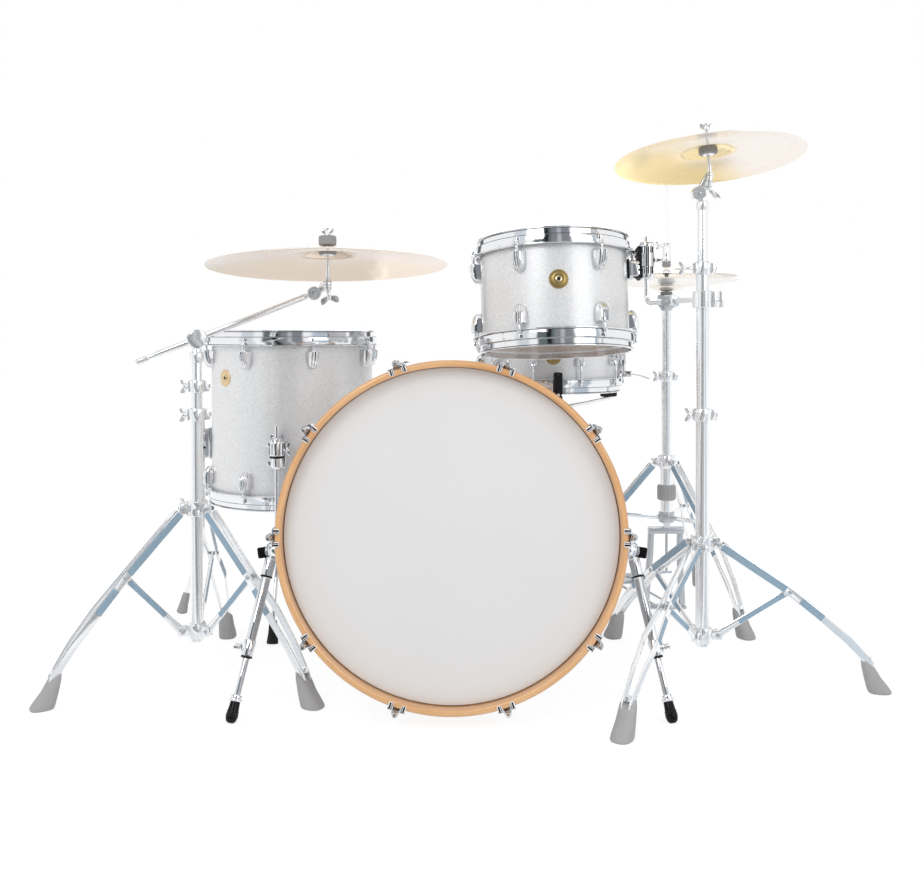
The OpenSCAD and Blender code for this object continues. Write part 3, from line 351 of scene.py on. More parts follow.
class Piece:
    """Collects shapes, in millimetres in the piece's own frame, into one object."""

    def __init__(self, base=Matrix.Identity(4)):
        self.base = base
        self.points, self.faces, self.tags, self.materials = [], [], [], []

    def add(self, points, faces, material, place=None):
        if material not in self.materials:
            self.materials.append(material)
        tag = self.materials.index(material)
        start = len(self.points)
        place = place or Matrix.Identity(4)
        self.points += [place @ Vector(p) for p in points]
        self.faces += [[i + start for i in f] for f in faces]
        self.tags += [tag] * len(faces)
        return self

    def loft(self, rings, material, place=None, caps=True):
        """Skin over rings that have the same number of points."""
        n = len(rings[0])
        points = [p for ring in rings for p in ring]
        faces = []
        for a in range(0, (len(rings) - 1) * n, n):
            b = a + n
            faces += [[a + j, a + (j + 1) % n, b + (j + 1) % n, b + j] for j in range(n)]
        if caps:
            faces.append(list(range(n))[::-1])
            faces.append([(len(rings) - 1) * n + j for j in range(n)])
        return self.add(points, faces, material, place)

    def lathe(self, profile, material, place=None, steps=48, closed=False):
        """Turned shape about +Z from (radius, height) pairs."""
        rings = []
        for i in range(steps):
            a = 2 * math.pi * i / steps
            rings.append([(r * math.cos(a), r * math.sin(a), z) for r, z in profile])
        n = len(profile)
        points = [p for ring in rings for p in ring]
        faces = []
        pairs = range(n) if closed else range(n - 1)
        for i in range(steps):
            a, b = i * n, ((i + 1) % steps) * n
            for j in pairs:
                k = (j + 1) % n
                quad = [a + j, b + j, b + k, a + k]
                if profile[j][0] == 0:
                    quad = [a + j, b + k, a + k]
                elif profile[k][0] == 0:
                    quad = [a + j, b + j, a + k]
                faces.append(quad)
        return self.add(points, faces, material, place)

    def rod(self, a, b, r, material, steps=20, place=None):
        """Round bar between two points of `place`, with softened ends."""
        if place:
            a, b = place @ Vector(a), place @ Vector(b)
        h = (Vector(b) - Vector(a)).length
        e = min(0.18 * r, h / 3)
        profile = [(0, 0), (r - e, 0), (r - 0.3 * e, 0.3 * e), (r, e), (r, h - e),
                   (r - 0.3 * e, h - 0.3 * e), (r - e, h), (0, h)]
        return self.lathe(profile, material, along(a, b), steps)

    def pipe(self, r_out, r_in, low, high, material, place=None, steps=40, edge=0.6):
        profile = [(r_in, low + edge), (r_in + edge, low), (r_out - edge, low), (r_out, low + edge),
                   (r_out, high - edge), (r_out - edge, high), (r_in + edge, high), (r_in, high - edge)]
        return self.lathe(profile, material, place, steps, closed=True)

    def sweep(self, path, section, material, side=None, place=None, round_ends=True):
        """Bar of a (width, thickness) section along a path; width lies across `side`."""
        path = [Vector(p) for p in path]
        rings, steps = [], 16
        for i, p in enumerate(path):
            before = path[max(i - 1, 0)]
            after = path[min(i + 1, len(path) - 1)]
            d = (after - before).normalized()
            axis = Vector(side) if side else (UP if abs(d.z) < 0.9 else Vector((0, 1, 0)))
            across = axis.cross(d).normalized()
            thick = d.cross(across).normalized()
            w, t = section(i) if callable(section) else section
            ring = []
            for k in range(steps):
                a = 2 * math.pi * k / steps
                c, s = math.cos(a), math.sin(a)
                ring.append(p + across * (w * squared(c, 0.62))
                            + thick * (t * squared(s, 0.62)))
            rings.append(ring)
        if round_ends:
            for end, inner in ((0, path[1]), (-1, path[-2])):
                centre = path[end]
                d = (centre - inner).normalized() * min(section(0)[1] if callable(section) else section[1], 2)
                ring = [centre + d + (q - centre) * 0.6 for q in rings[end]]
                rings = [ring] + rings if end == 0 else rings + [ring]
        return self.loft(rings, material, place)

    def slab(self, size, place, material, bevel=1.2):
        """Block with rounded edges, centred on `place`."""
        block = bmesh.new()
        bmesh.ops.create_cube(block, size=1)
        bmesh.ops.scale(block, vec=size, verts=block.verts)
        bmesh.ops.bevel(block, geom=block.edges[:], offset=min(bevel, min(size) * 0.45),
                        segments=2, profile=0.6, affect="EDGES")
        points = [v.co.copy() for v in block.verts]
        faces = [[v.index for v in f.verts] for f in block.faces]
        block.free()
        return self.add(points, faces, material, place)

    def plate(self, outline, thickness, place, material, bevel=0.8):
        """Flat shape cut to an outline in its own x and y, with rounded edges."""
        flat = bmesh.new()
        verts = [flat.verts.new((x, y, -thickness / 2)) for x, y in outline]
        face = flat.faces.new(verts)
        lifted = bmesh.ops.extrude_face_region(flat, geom=[face])
        top = [g for g in lifted["geom"] if isinstance(g, bmesh.types.BMVert)]
        bmesh.ops.translate(flat, vec=(0, 0, thickness), verts=top)
        rim = [e for e in flat.edges if abs(e.verts[0].co.z - e.verts[1].co.z) < 1e-6]
        bmesh.ops.bevel(flat, geom=rim, offset=bevel, segments=2, profile=0.6, affect="EDGES")
        flat.verts.index_update()
        points = [v.co.copy() for v in flat.verts]
        faces = [[v.index for v in f.verts] for f in flat.faces]
        flat.free()
        return self.add(points, faces, material, place)

    def wing(self, place, material, span=13, height=11):
        """Wing head of a screw: hub along +Z with two swept lobes."""
        self.rod((0, 0, -5), (0, 0, 4), 5.4, material, 16, place)
        for s in (-1, 1):
            outline = [(0, -4), (s * span * 0.5, -3.6), (s * span * 0.9, -1), (s * span, 4),
                       (s * span * 0.98, height * 0.85), (s * span * 0.8, height),
                       (s * span * 0.5, height * 0.84), (s * span * 0.25, height * 0.55), (0, 4)]
            if s < 0:
                outline = outline[::-1]
            self.plate(outline, 6.4, place @ turn("X", 90), material, 2)
        return self

    def done(self, name, body, nodes, slot, sharp=38):
        mesh = bpy.data.meshes.new(name)
        mesh.from_pydata([p * MM for p in self.points], [], self.faces)
        for material in self.materials:
            mesh.materials.append(material)
        mesh.polygons.foreach_set("material_index", self.tags)
        work = bmesh.new()
        work.from_mesh(mesh)
        bmesh.ops.recalc_face_normals(work, faces=work.faces)
        work.to_mesh(mesh)
        work.free()
        mesh.polygons.foreach_set("use_smooth", [True] * len(mesh.polygons))
        mesh.set_sharp_from_angle(angle=math.radians(sharp))
        mesh.update()
        piece = bpy.data.objects.new(name, mesh)
        bpy.context.scene.collection.objects.link(piece)
        base = self.base.copy()
        base.translation = base.translation * MM
        piece.matrix_world = base
        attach(piece, body)
        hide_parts(*nodes)
        return piece


# Depth is the shell's, HOOP_R the outside of the hoop, PROUD how far a hoop stands beyond the shell.
BASS_R, BASS_DEPTH, BASS_HOOP_R, BASS_PROUD, BASS_TILT = 304.8, 356, 322, 28, 2
BASS_RODS, TOM_RODS, FLOOR_RODS, SNARE_RODS = 10, 6, 8, 10
BASS_LEN = BASS_DEPTH + 2 * BASS_PROUD
BASS_AT = Vector((-40, -500, 6 + BASS_LEN * sind(BASS_TILT) + BASS_HOOP_R * cosd(BASS_TILT)))
IN_BASS = at(*BASS_AT) @ turn("X", -90 - BASS_TILT)
BASS_ROD_R = BASS_HOOP_R + 9
# ALONG is from the front of the bass drum and HUB from its axis; FOOT is across and back from its
# front centre, and up from the floor.
SPUR_ALONG, SPUR_TURN, SPUR_HUB = 146, 8, 354
SPUR_FOOT = Vector((404, 16, 3.2))
TOM_R, TOM_DEPTH, TOM_AT = 165.1, 229, Vector((187, -50, 794))
IN_TOM = at(*TOM_AT) @ turn("Y", -1.4) @ turn("X", -6.5) @ at(0, 0, -TOM_DEPTH / 2)
FLOOR_R, FLOOR_DEPTH, FLOOR_AT = 203.2, 406, Vector((-455, 262, 301))
FLOOR_TURNS, FLOOR_LEG_R = (-90, 45, 185), FLOOR_R + 24
SNARE_R, SNARE_DEPTH, SNARE_AT = 177.8, 165, Vector((215, 350, 572))
IN_SNARE = at(*SNARE_AT) @ turn("Z", -18)
# ROD_OUT is from the shell to a tension rod's axis; FLUTES are across a lug, TEETH round a tilter disc.
ROD_OUT, BADGE_R, SHELL_WALL, CYMBAL_HOLE = 15, 20.5, 7, 6.5
FLUTES, TEETH, WIRES = (-5.6, 0, 5.6), 24, 20
# Stands: TURNS point the legs, HIGH and LOW are the pivots on the tube, FOOT is a leg's reach;
# LINK joins a pivot to the knee, PIVOT_R is how far a pivot is from the tube's axis.
LEFT_AT, LEFT_TURNS = Vector((-564, -262, 0)), (91, 211, 331)
LEFT_HIGH, LEFT_LOW, LEFT_FOOT = 355, 107, 304
RIGHT_AT, RIGHT_TURNS = Vector((466, -284, 0)), (-7, 113, 233)
RIGHT_HIGH, RIGHT_LOW, RIGHT_FOOT = 288, 104, 352
LINK, PIVOT_R, BAR_GAP = 168, 30, 11
BOOM_TURN, BOOM_RISE, BOOM_SIDE, BOOM_Z = 12.6, 21.8, 24, 701
BOOM_BACK, BOOM_FRONT, BOOM_R = 130, 258, 6.35
BOOM_PIVOT = LEFT_AT + Vector((-BOOM_SIDE * sind(BOOM_TURN), BOOM_SIDE * cosd(BOOM_TURN), BOOM_Z))
IN_BOOM = at(*BOOM_PIVOT) @ turn("Z", BOOM_TURN) @ turn("Y", -BOOM_RISE)
BOOM_END = IN_BOOM @ Vector((BOOM_FRONT, 0, 0))
LEFT_CYMBAL = at(-306, -186, 853) @ turn("Y", -1) @ turn("X", -4.1)
RIGHT_CYMBAL = at(481, -276, 1064) @ turn("Y", -2.9) @ turn("X", -6.6)
KNUCKLE = Vector((458, -284, 995))
# HAT_Z is midway between the two cymbals, HAT_GAP the distance between their rim planes.
HAT_AT, HAT_TURNS, HAT_Z, HAT_GAP, HAT_R = Vector((507, 270, 0)), (-61, 59, 179), 852, 9, 178
HEEL = Vector((435, 538, 20))       # hinge of the hi-hat's footboard
SNARE_TURNS = (-62, 58, 178)
AXLE = Vector((-40, -52, 226))      # the bass pedal's
PEDAL_HEEL_Y, BEATER_SWING, CHAIN_PITCH = 236, -48, 11
# The rack tom's arm runs level from the rod's elbow to the right stand.
ELBOW = Vector((TOM_AT.x + 209, TOM_AT.y - 4, 781))
ARM = Vector((RIGHT_AT.x - ELBOW.x, RIGHT_AT.y - ELBOW.y, 0))
ARM_LEN = ARM.length
ARM_DIR = ARM.normalized()


# ------------------------------------------------------------------ drum pieces

def shell(base, r, depth):
    """Wrapped shell with rounded bearing edges and bare wood inside."""
    p, wall = Piece(base), SHELL_WALL
    p.lathe([(r - wall, 4), (r - 3.4, 0.2), (r - 2.6, 0.2), (r, 2.5), (r, 2.6), (r, depth - 2.6),
             (r, depth - 2.5), (r - 2.6, depth - 0.2), (r - 3.4, depth - 0.2), (r - wall, depth - 4)],
            WRAP, None, 192)
    p.lathe([(r - wall, depth - 4), (r - wall, 4)], WOOD, None, 192)
    return p


def badge(p, r, angle, height, metal):
    """Plain round badge that follows the shell, with a raised rim and a vent grommet."""
    place = turn("Z", angle) @ at(r, 0, height) @ turn("Y", 90)
    disc = BADGE_R

    def bend(points):
        return [(x, y, z - (r - math.sqrt(max(r * r - y * y, 1)))) for x, y, z in points]

    def rings(profile):
        steps = 40
        return [[(q * cosd(360 * i / steps), q * sind(360 * i / steps), z) for i in range(steps)]
                for q, z in profile]

    # the black disc inside the grommet is painted shade, for the dark vent hole into the shell
    for profile, material in (
            (((disc, 0), (disc, 1.0), (disc - 0.8, 1.7), (disc - 2.4, 1.7), (disc - 3.0, 1.2),
              (disc * 0.62, 1.2), (disc * 0.58, 1.5), (disc * 0.54, 1.2), (4, 1.2)), metal),
            (((7.2, 1.1), (7.0, 2.6), (5.6, 3.0), (4.2, 2.4), (3.6, 0.2)), GROMMET),
            (((3.8, 0.9), (0.6, 0.8)), BLACK)):
        p.loft([bend(ring) for ring in rings(profile)], material, place, caps=False)


def head(p, r, material, flip, low=-16, flesh=-7, flare=0.0):
    """Film with a rounded collar at the bearing edge, and its metal flesh hoop."""
    p.lathe([(0, 1.0), (r - 22, 1.0), (r - 6, 0.95), (r - 2 + flare, 0.8), (r + 0.4 + flare, 0.2),
             (r + 1.15 + flare, -1.2), (r + 1.25 + flare, flesh)], material, flip, 160)
    p.lathe([(0, 0.2), (r - 6, 0.2), (r + 0.3, -0.6), (r + 0.3, low)], material, flip, 160)
    p.lathe([(r + 0.3, low), (r + 7.2, low), (r + 7.8, low + 0.8), (r + 7.8, flesh - 1), (r + 6.8, flesh),
             (r + 1.25 + flare, flesh)], FLESH, flip, 160)


def steel_hoop(p, r, flip):
    """Triple-flanged hoop with rolled edges."""
    p.lathe([(r + 2.4, 12.2), (r + 1.6, 11.4), (r + 1.6, -5.6), (r + 2.6, -6.6), (r + 7.4, -6.6),
             (r + 8.2, -7.4), (r + 8.2, -25.0), (r + 9.2, -26), (r + 18.2, -26), (r + 19, -25.4),
             (r + 19, -24.2), (r + 18.2, -23.6), (r + 11.4, -23.6), (r + 10.4, -22.6), (r + 10.8, -18),
             (r + 10.95, -14), (r + 10.8, -10), (r + 10.4, -5.2), (r + 9.4, -4.2), (r + 5, -4.2),
             (r + 4, -3.2), (r + 4, 8.8), (r + 4.8, 9.6), (r + 7.6, 9.6), (r + 8.5, 10.3), (r + 8.5, 11.5),
             (r + 7.6, 12.2)], CHROME, flip, 160, closed=True)
    for q, low, high in ((r + 4.1, 7.6, 9.3), (r + 9.9, -5.0, -3.9), (r + 10.9, -23.5, -22.2)):
        p.lathe([(q - 1, low), (q, low), (q + 0.25, (low + high) / 2), (q, high), (q - 1, high)],
                SHADE, flip, 160, True)


def lug_shape(p, place, height=43.0, half=13.6, out=24.5):
    """Cast lug on the shell at x = 0: square across the rod's end, round below, with three flutes."""
    gap = 0.2       # clear of the shell
    rings, levels, steps = [], 17, 26
    for i in range(levels):
        t = sind(90 * i / (levels - 1))
        w = half * max(1 - t ** 5, 0.03) ** 0.5
        d = out * (0.2 + 0.8 * max(1 - t ** 2.2, 0.0) ** 0.5)
        if i == 0:
            w, d = w - 1.0, d - 1.0
        z = -0.02 if i == 0 else (-0.9 if i == 1 else -height * t)
        ring = []
        for k in range(steps + 1):
            a = math.radians(-90 + 180 * k / steps)
            c, s = max(math.cos(a), 0.0), math.sin(a)
            y = w * squared(s, 0.72)
            flute = sum(math.exp(-((y - c0) / 1.25) ** 2) for c0 in FLUTES)
            ring.append((gap + max(d * c ** 0.5 - 1.5 * flute * min(w / half, 1) * c, 0.0), y, z))
        rings.append(ring)
    p.loft(rings[::-1], CHROME, place)
    # painted shade: a darker steel strip lies along each flute, for the shade in the groove
    for y in FLUTES:
        path = []
        for i in range(2, levels - 3):
            t = sind(90 * i / (levels - 1))
            w = half * (1 - t ** 5) ** 0.5
            c = math.sqrt(max(1 - (abs(y) / w) ** 2.8, 0.0))
            d = out * (0.2 + 0.8 * (1 - t ** 2.2) ** 0.5)
            path.append((gap + d * c ** 0.5 - 1.5 * min(w / half, 1) * c, y, -height * t))
        p.sweep(path, (0.7, 0.7), STEEL, (0, 1, 0), place)


def tension_rod(p, place, shaft_low=-42):
    """Square-headed rod with its flange and washer; z = 0 is the bearing edge."""
    p.rod((0, 0, shaft_low), (0, 0, -14), 2.9, CHROME, 12, place)
    p.lathe([(0, -23.5), (5.2, -23.5), (5.4, -23), (5.2, -22), (0, -22)], CHROME, place, 20)
    p.lathe([(0, -22), (4.6, -21.8), (4.2, -20.5), (3.6, -19.5), (3.4, -14), (0, -14)], CHROME, place, 20)
    p.slab((5.3, 5.3, 8.4), place @ at(0, 0, -10.6), CHROME, 0.7)


def lug_set(p, r, depth, rods, first):
    """Lugs, nuts and tension rods at both ends of a drum."""
    for flip in (at(0, 0, depth), flip_z()):
        for i in range(rods):
            place = flip @ turn("Z", first + i * 360 / rods)
            lug_shape(p, place @ at(r, 0, -38))
            p.rod((r + ROD_OUT, 0, -43), (r + ROD_OUT, 0, -35), 6, CHROME, place=place)
            tension_rod(p, place @ at(r + ROD_OUT))


# ------------------------------------------------------------------ bass drum

def bass_drum():
    ends = (Matrix.Identity(4), flip_z(BASS_LEN))
    p = shell(IN_BASS @ at(0, 0, BASS_PROUD), BASS_R, BASS_DEPTH)
    p.done("bass_drum_shell", "kit", ["bass_shell"], "wrap")

    p = Piece(IN_BASS)
    w, r = BASS_HOOP_R - 12.6, BASS_HOOP_R
    for flip in ends:
        p.lathe([(w, 3.6), (w + 0.6, 1.8), (w + 1.8, 0.6), (w + 3.6, 0.1), (r - 6.2, 0), (r - 4.2, 0.4),
                 (r - 2.4, 1.4), (r - 1.0, 2.8), (r - 0.2, 4.6), (r, 6.6), (r, 35.0), (r - 0.8, 37.0),
                 (r - 2.6, 38), (w + 1, 38), (w, 37)], MAPLE, flip, 224, closed=True)
    p.done("bass_drum_hoops", "kit", ["bass_hoops"], "maple", 50)

    p = Piece(IN_BASS)
    for i, flip in enumerate(ends):
        head(p, BASS_R, (FILM, FILM_WHITE)[i], flip @ at(0, 0, BASS_PROUD) @ flip_z(), -18, -10.3, 3.0)
    p.done("bass_drum_heads", "kit", ["bass_heads"], "film")

    p = Piece(IN_BASS)
    for flip in ends:
        for i in range(BASS_RODS):
            place = flip @ turn("Z", i * 360 / BASS_RODS)
            lug_shape(p, place @ at(BASS_R, 0, 70) @ flip_z(), 52, 13, 30)
            p.lathe([(3, 64), (6.6, 64), (7, 64.8), (7, 71), (3, 71)],
                    CHROME, place @ at(BASS_ROD_R), 24, True)
            claw(p, place)
    for s in (1, -1):
        mirror = Matrix.Diagonal((s, 1, 1, 1))
        place = mirror @ turn("Z", SPUR_TURN) @ at(0, 0, SPUR_ALONG)
        p.slab((8, 58, 54), place @ at(BASS_R + 4.5, 0, 0), CHROME, 3)
        p.slab((14, 40, 38), place @ at(BASS_R + 14, 0, 0), CHROME, 4)
        p.lathe([(0, 0), (21, 0), (21, 12), (19, 14), (19, 21), (18, 22.6), (0, 22.6)], CHROME,
                place @ at(BASS_R + 18.5, 0, 0) @ turn("Y", 90), 40)
        p.lathe([(0, 0), (10, 0), (10, 4), (8.4, 5.6), (4, 6), (0, 6)], STEEL,
                place @ at(362.4, 0, 0) @ turn("Y", 90), 24)
        for u in (-1, 1):
            for v in (-1, 1):
                p.lathe([(0, 2.4), (2, 2.3), (3.6, 1.4), (4, 0), (0, 0)], STEEL,
                        place @ at(BASS_R + 8.4, u * 24, v * 21.5) @ turn("Y", 90), 16)
    p.done("bass_drum_fittings", "kit", ["bass_fittings"], "chrome")


def claw(p, place):
    """Cast claw hook: two fingers over the hoop's front edge, saddle, barrel and key rod."""
    r = BASS_HOOP_R
    for s in (-1, 1):
        # painted highlight: the claw finger faces are near-white, for the light the chrome reflects
        p.slab((11, 9.6, 3.2), place @ at(r - 4.6, s * 12, -1.7), PAINTED_HIGHLIGHT, 1.1)
        p.slab((3.6, 9.6, 21), place @ at(r + 2.0, s * 12, 7.2), CHROME, 1.3)
        # painted reflection: thin black lines on the finger faces, for the dark stripes the chrome reflects
        p.slab((10.2, 2.9, 0.9), place @ at(r - 4.4, s * 13.0, -3.3), INK, 0.3)
        p.slab((10.2, 1.2, 0.9), place @ at(r - 4.4, s * 9.4, -3.3), INK, 0.3)
    p.slab((4.2, 33, 9), place @ at(r + 2.7, 0, 16.4), CHROME, 1.6)
    p.slab((9, 14, 17), place @ at(r + 6.0, 0, 12), CHROME, 2.4)
    centre = place @ at(BASS_ROD_R)
    p.lathe([(0, -2), (5.6, -2), (6.4, -0.8), (6.6, 1), (6.6, 18), (6.0, 21), (3.2, 22), (0, 22)],
            CHROME, centre, 24)
    p.lathe([(5.2, 2.6), (6.9, 2.6), (6.9, 3.6), (5.2, 3.6)], BLACK, centre, 24, True)
    p.lathe([(0, -8.4), (3.6, -8.4), (4.4, -7), (5.0, -4), (5.2, -2), (0, -2)], CHROME, centre, 20)
    p.slab((5.6, 5.6, 7), centre @ at(0, 0, -9.6), CHROME, 0.7)
    p.rod((0, 0, 18), (0, 0, 96), 2.9, CHROME, 12, centre)


def spurs():
    lean = Vector((cosd(SPUR_TURN), -sind(SPUR_TURN) * sind(BASS_TILT), -sind(SPUR_TURN) * cosd(BASS_TILT)))
    pivot = BASS_AT + Vector((SPUR_HUB * lean.x,
                              SPUR_ALONG * cosd(BASS_TILT) + SPUR_HUB * lean.y,
                              -SPUR_ALONG * sind(BASS_TILT) + SPUR_HUB * lean.z))
    foot = Vector((BASS_AT.x + SPUR_FOOT.x, BASS_AT.y + SPUR_FOOT.y, SPUR_FOOT.z))
    d = (foot - pivot).normalized()
    length = (foot - pivot).length
    for side, name in ((1, "right"), (-1, "left")):
        p = Piece(at(2 * BASS_AT.x if side < 0 else 0))
        m = Matrix.Diagonal((side, 1, 1, 1))
        hub = m @ IN_BASS @ turn("Z", SPUR_TURN) @ at(346.4, 0, SPUR_ALONG) @ turn("Y", 90)
        p.lathe([(5.2, 0), (16.4, 0), (17.4, 1), (17.4, 11.5), (15.5, 14), (13.5, 15.6), (5.2, 15.6)], CHROME,
                hub, 40, closed=True)
        p.lathe([(14.2, 14.6), (14.2, 15.9), (12.6, 16.1), (11.6, 15.6)], BLACK, hub, 40)
        p.rod((0, 0, 15), (0, 0, 20), 4, CHROME, 16, hub)
        p.slab((9, 21, 19), hub @ at(0, 1, 28), INK, 3)
        p.slab((6, 12, 9), hub @ at(-3.4, 1, 29), CHROME, 2)

        def point(t):
            return m @ (pivot + d * t)

        def put(a, b, r, material=CHROME):
            p.rod(point(a), point(b), r, material, 28)

        put(15, 50, 11.2)
        put(49.6, 52.6, 11.8, BLACK)
        put(52, length - 118, 9.5)
        put(length - 146, length - 116, 11.6)
        put(length - 116.4, length - 113.2, 10.8, BLACK)
        put(length - 116, length - 44, 6.5)
        # painted reflection: darker steel strips along the inner side of each spur tube, for the dark
        # surroundings the chrome reflects
        inward = (m.to_3x3() @ Vector((-0.62, -0.78, 0))).normalized()
        for first, last, r, wide in ((17, 48, 11.2, 5.5), (54, length - 148, 9.5, 4.6),
                                     (length - 112, length - 50, 6.5, 2.6)):
            p.sweep([point(first) + inward * (r - 0.2), point(last) + inward * (r - 0.2)], (wide, 0.7), STEEL,
                    tuple(inward), None, False)
        put(length - 47, length - 37, 10.5, CHROME)
        put(length - 40, length - 35, 13, PALE)
        clamp = point(length - 131)
        out = m.to_3x3() @ Vector((1, 0, 0.16)).normalized()
        p.rod(clamp, clamp + out * 21, 3.4, CHROME, 16)
        p.slab((9, 12, 20),
               Matrix.Translation(clamp + out * 9) @ d.to_track_quat("Z", "X").to_matrix().to_4x4(), CHROME,
               2)
        p.wing(along(clamp + out * 20, clamp + out * 26), CHROME, 10, 8)
        tip = Matrix.Translation(m @ foot) @ (m.to_3x3() @ -d).to_track_quat("Z", "Y").to_matrix().to_4x4()
        p.lathe([(0, -2.5), (5, -2.3), (8.6, 0.4), (10.2, 4), (11.2, 9), (11, 14), (9.8, 24), (9.0, 35),
                 (8.2, 37.6), (0, 37.6)], GLOSS_BLACK, tip, 32)
        for z in (10, 14, 18):
            p.lathe([(11.3 - (z - 10) * 0.05, z - 0.9), (11.8 - (z - 10) * 0.06, z),
                     (11.3 - (z - 10) * 0.07, z + 0.9)], BLACK, tip, 32)
        clip_to_floor(p)
        p.done("spur_leg_" + name, "spur_" + name, ["spur_" + name], "chrome")


# ------------------------------------------------------------------ toms and snare


# The rack tom, floor tom and snare pass these three the same values: name, body, the start of the node
# names, frame, radius and depth.
def badged_shell(name, body, node, base, r, depth, angle, height, metal):
    p = shell(base, r, depth)
    badge(p, r, angle, depth * height, metal)
    p.done(name + "_shell", body, [node + "_shell"], "wrap")


def hoops(name, body, node, base, r, depth):
    p = Piece(base)
    for flip in (at(0, 0, depth), flip_z()):
        steel_hoop(p, r, flip)
    p.done(name + "_hoops", body, [node + "_hoops"], "chrome")


def two_heads(base, r, depth):
    """Coated batter head on top and a clear head below."""
    p = Piece(base)
    head(p, r, FILM_WHITE, at(0, 0, depth))
    head(p, r, FILM_CLEAR, flip_z())
    return p


def rack_tom():
    drum = "rack_tom", "tom", "tom", IN_TOM, TOM_R, TOM_DEPTH
    badged_shell(*drum, -91.5, 0.56, BRASS)
    hoops(*drum)
    two_heads(*drum[3:]).done("rack_tom_heads", "tom", ["tom_heads"], "film")

    p = Piece(IN_TOM)
    lug_set(p, TOM_R, TOM_DEPTH, TOM_RODS, 0)
    back = IN_TOM.inverted()
    for s in (-1, 1):
        p.slab((27, 8, 34), at(TOM_R + 14, s * 17, 172), CHROME, 2)
        p.slab((4, 13, 44), at(TOM_R + 2.4, s * 18, 172), BLACK, 1.2)
    p.slab((9, 42, 74), at(TOM_R + 30.5, 0, 187), BLACK, 3)
    for k in range(6):
        p.slab((11, 44, 5), at(TOM_R + 29.5, 0, 156 + k * 12.4), BLACK, 1.6)
    p.slab((4, 34, 66), at(TOM_R + 36, 0, 187), STEEL, 1.6)
    post = back @ at(ELBOW.x, ELBOW.y, 0)
    p.lathe([(5.4, 834), (13, 834), (15.6, 835.6), (16.6, 838), (16.6, 846), (15, 847), (15, 861),
             (16.6, 862), (16.6, 893), (15, 894), (15, 906), (16.6, 907), (16.6, 913), (15, 917), (12, 918),
             (5.4, 918)], CHROME, post, 40)
    for angle, wide in ((-146, 3.2), (-122, 1.6), (-84, 2.4), (-66, 1.4), (-44, 3)):
        p.slab((1.6, wide, 60), post @ turn("Z", angle) @ at(16.1, 0, 876), SHADE, 0.5)
    p.slab((11, 26, 40), post @ at(-9, 4, 877), STEEL, 3)
    p.rod((6, 0, 877), (26, 0, 877), 4, CHROME, 16, post)
    p.lathe([(0, 0), (7, 0), (7.4, 1), (7.4, 5), (6.6, 6), (0, 6)], BLACK,
            post @ at(11, 0, 877) @ turn("Y", 90), 24)
    p.wing(post @ at(26, 0, 877) @ turn("Y", 90) @ turn("Z", 90), CHROME, 10, 9)
    rod = [post @ Vector((0, 0, 930)), post @ Vector((0, 0, 850)), post @ Vector((0, 0, 800))]
    bend = 16
    for k in range(7):
        a = math.radians(90 * k / 6)
        flat = ARM_DIR * (bend * (1 - math.cos(a)))
        rod.append(post @ Vector((flat.x, flat.y, ELBOW.z + bend * (1 - math.sin(a)))))
    far = ARM_DIR * 118
    rod.append(post @ Vector((far.x, far.y, ELBOW.z)))
    p.sweep(rod, (5.25, 5.25), PALE, (0, 1, 0.3))
    p.done("rack_tom_fittings", "tom", ["tom_fittings"], "chrome")

    p = Piece(at(*RIGHT_AT))
    p.pipe(20, 12.4, 764, 798, PALE, None, 48, 1.4)
    heading = math.degrees(math.atan2(ARM_DIR.y, ARM_DIR.x))

    def beside(t, z):
        v = ELBOW + ARM_DIR * t - RIGHT_AT
        return Vector((v.x, v.y, z))

    p.rod(beside(88, 781), beside(124, 781), 13, PALE_DARK, 32)
    for k in range(5):
        p.lathe([(13, 0), (13.9, 1.2), (13.9, 2.4), (13, 3.6)], PALE_DARK,
                along(beside(92 + k * 5.4, 781), beside(140, 781)), 32)
    block = at(*beside((122 + ARM_LEN - 17) / 2, 781)) @ turn("Z", heading)
    p.slab((ARM_LEN - 137, 13, 11), block, PALE, 2.5)
    p.slab((12, 20, 22), at(*beside(127, 781)) @ turn("Z", heading), PALE, 3)
    p.slab((10, 30, 34), at(21, 0, 781), PALE, 3)
    p.rod((18, 0, 781), (34, 0, 781), 5, PALE)
    p.slab((7, 16, 34), at(37.5, 0, 781), PALE, 2.4)
    p.done("tom_holder", "tom_arm", ["tom_arm"], "chrome")


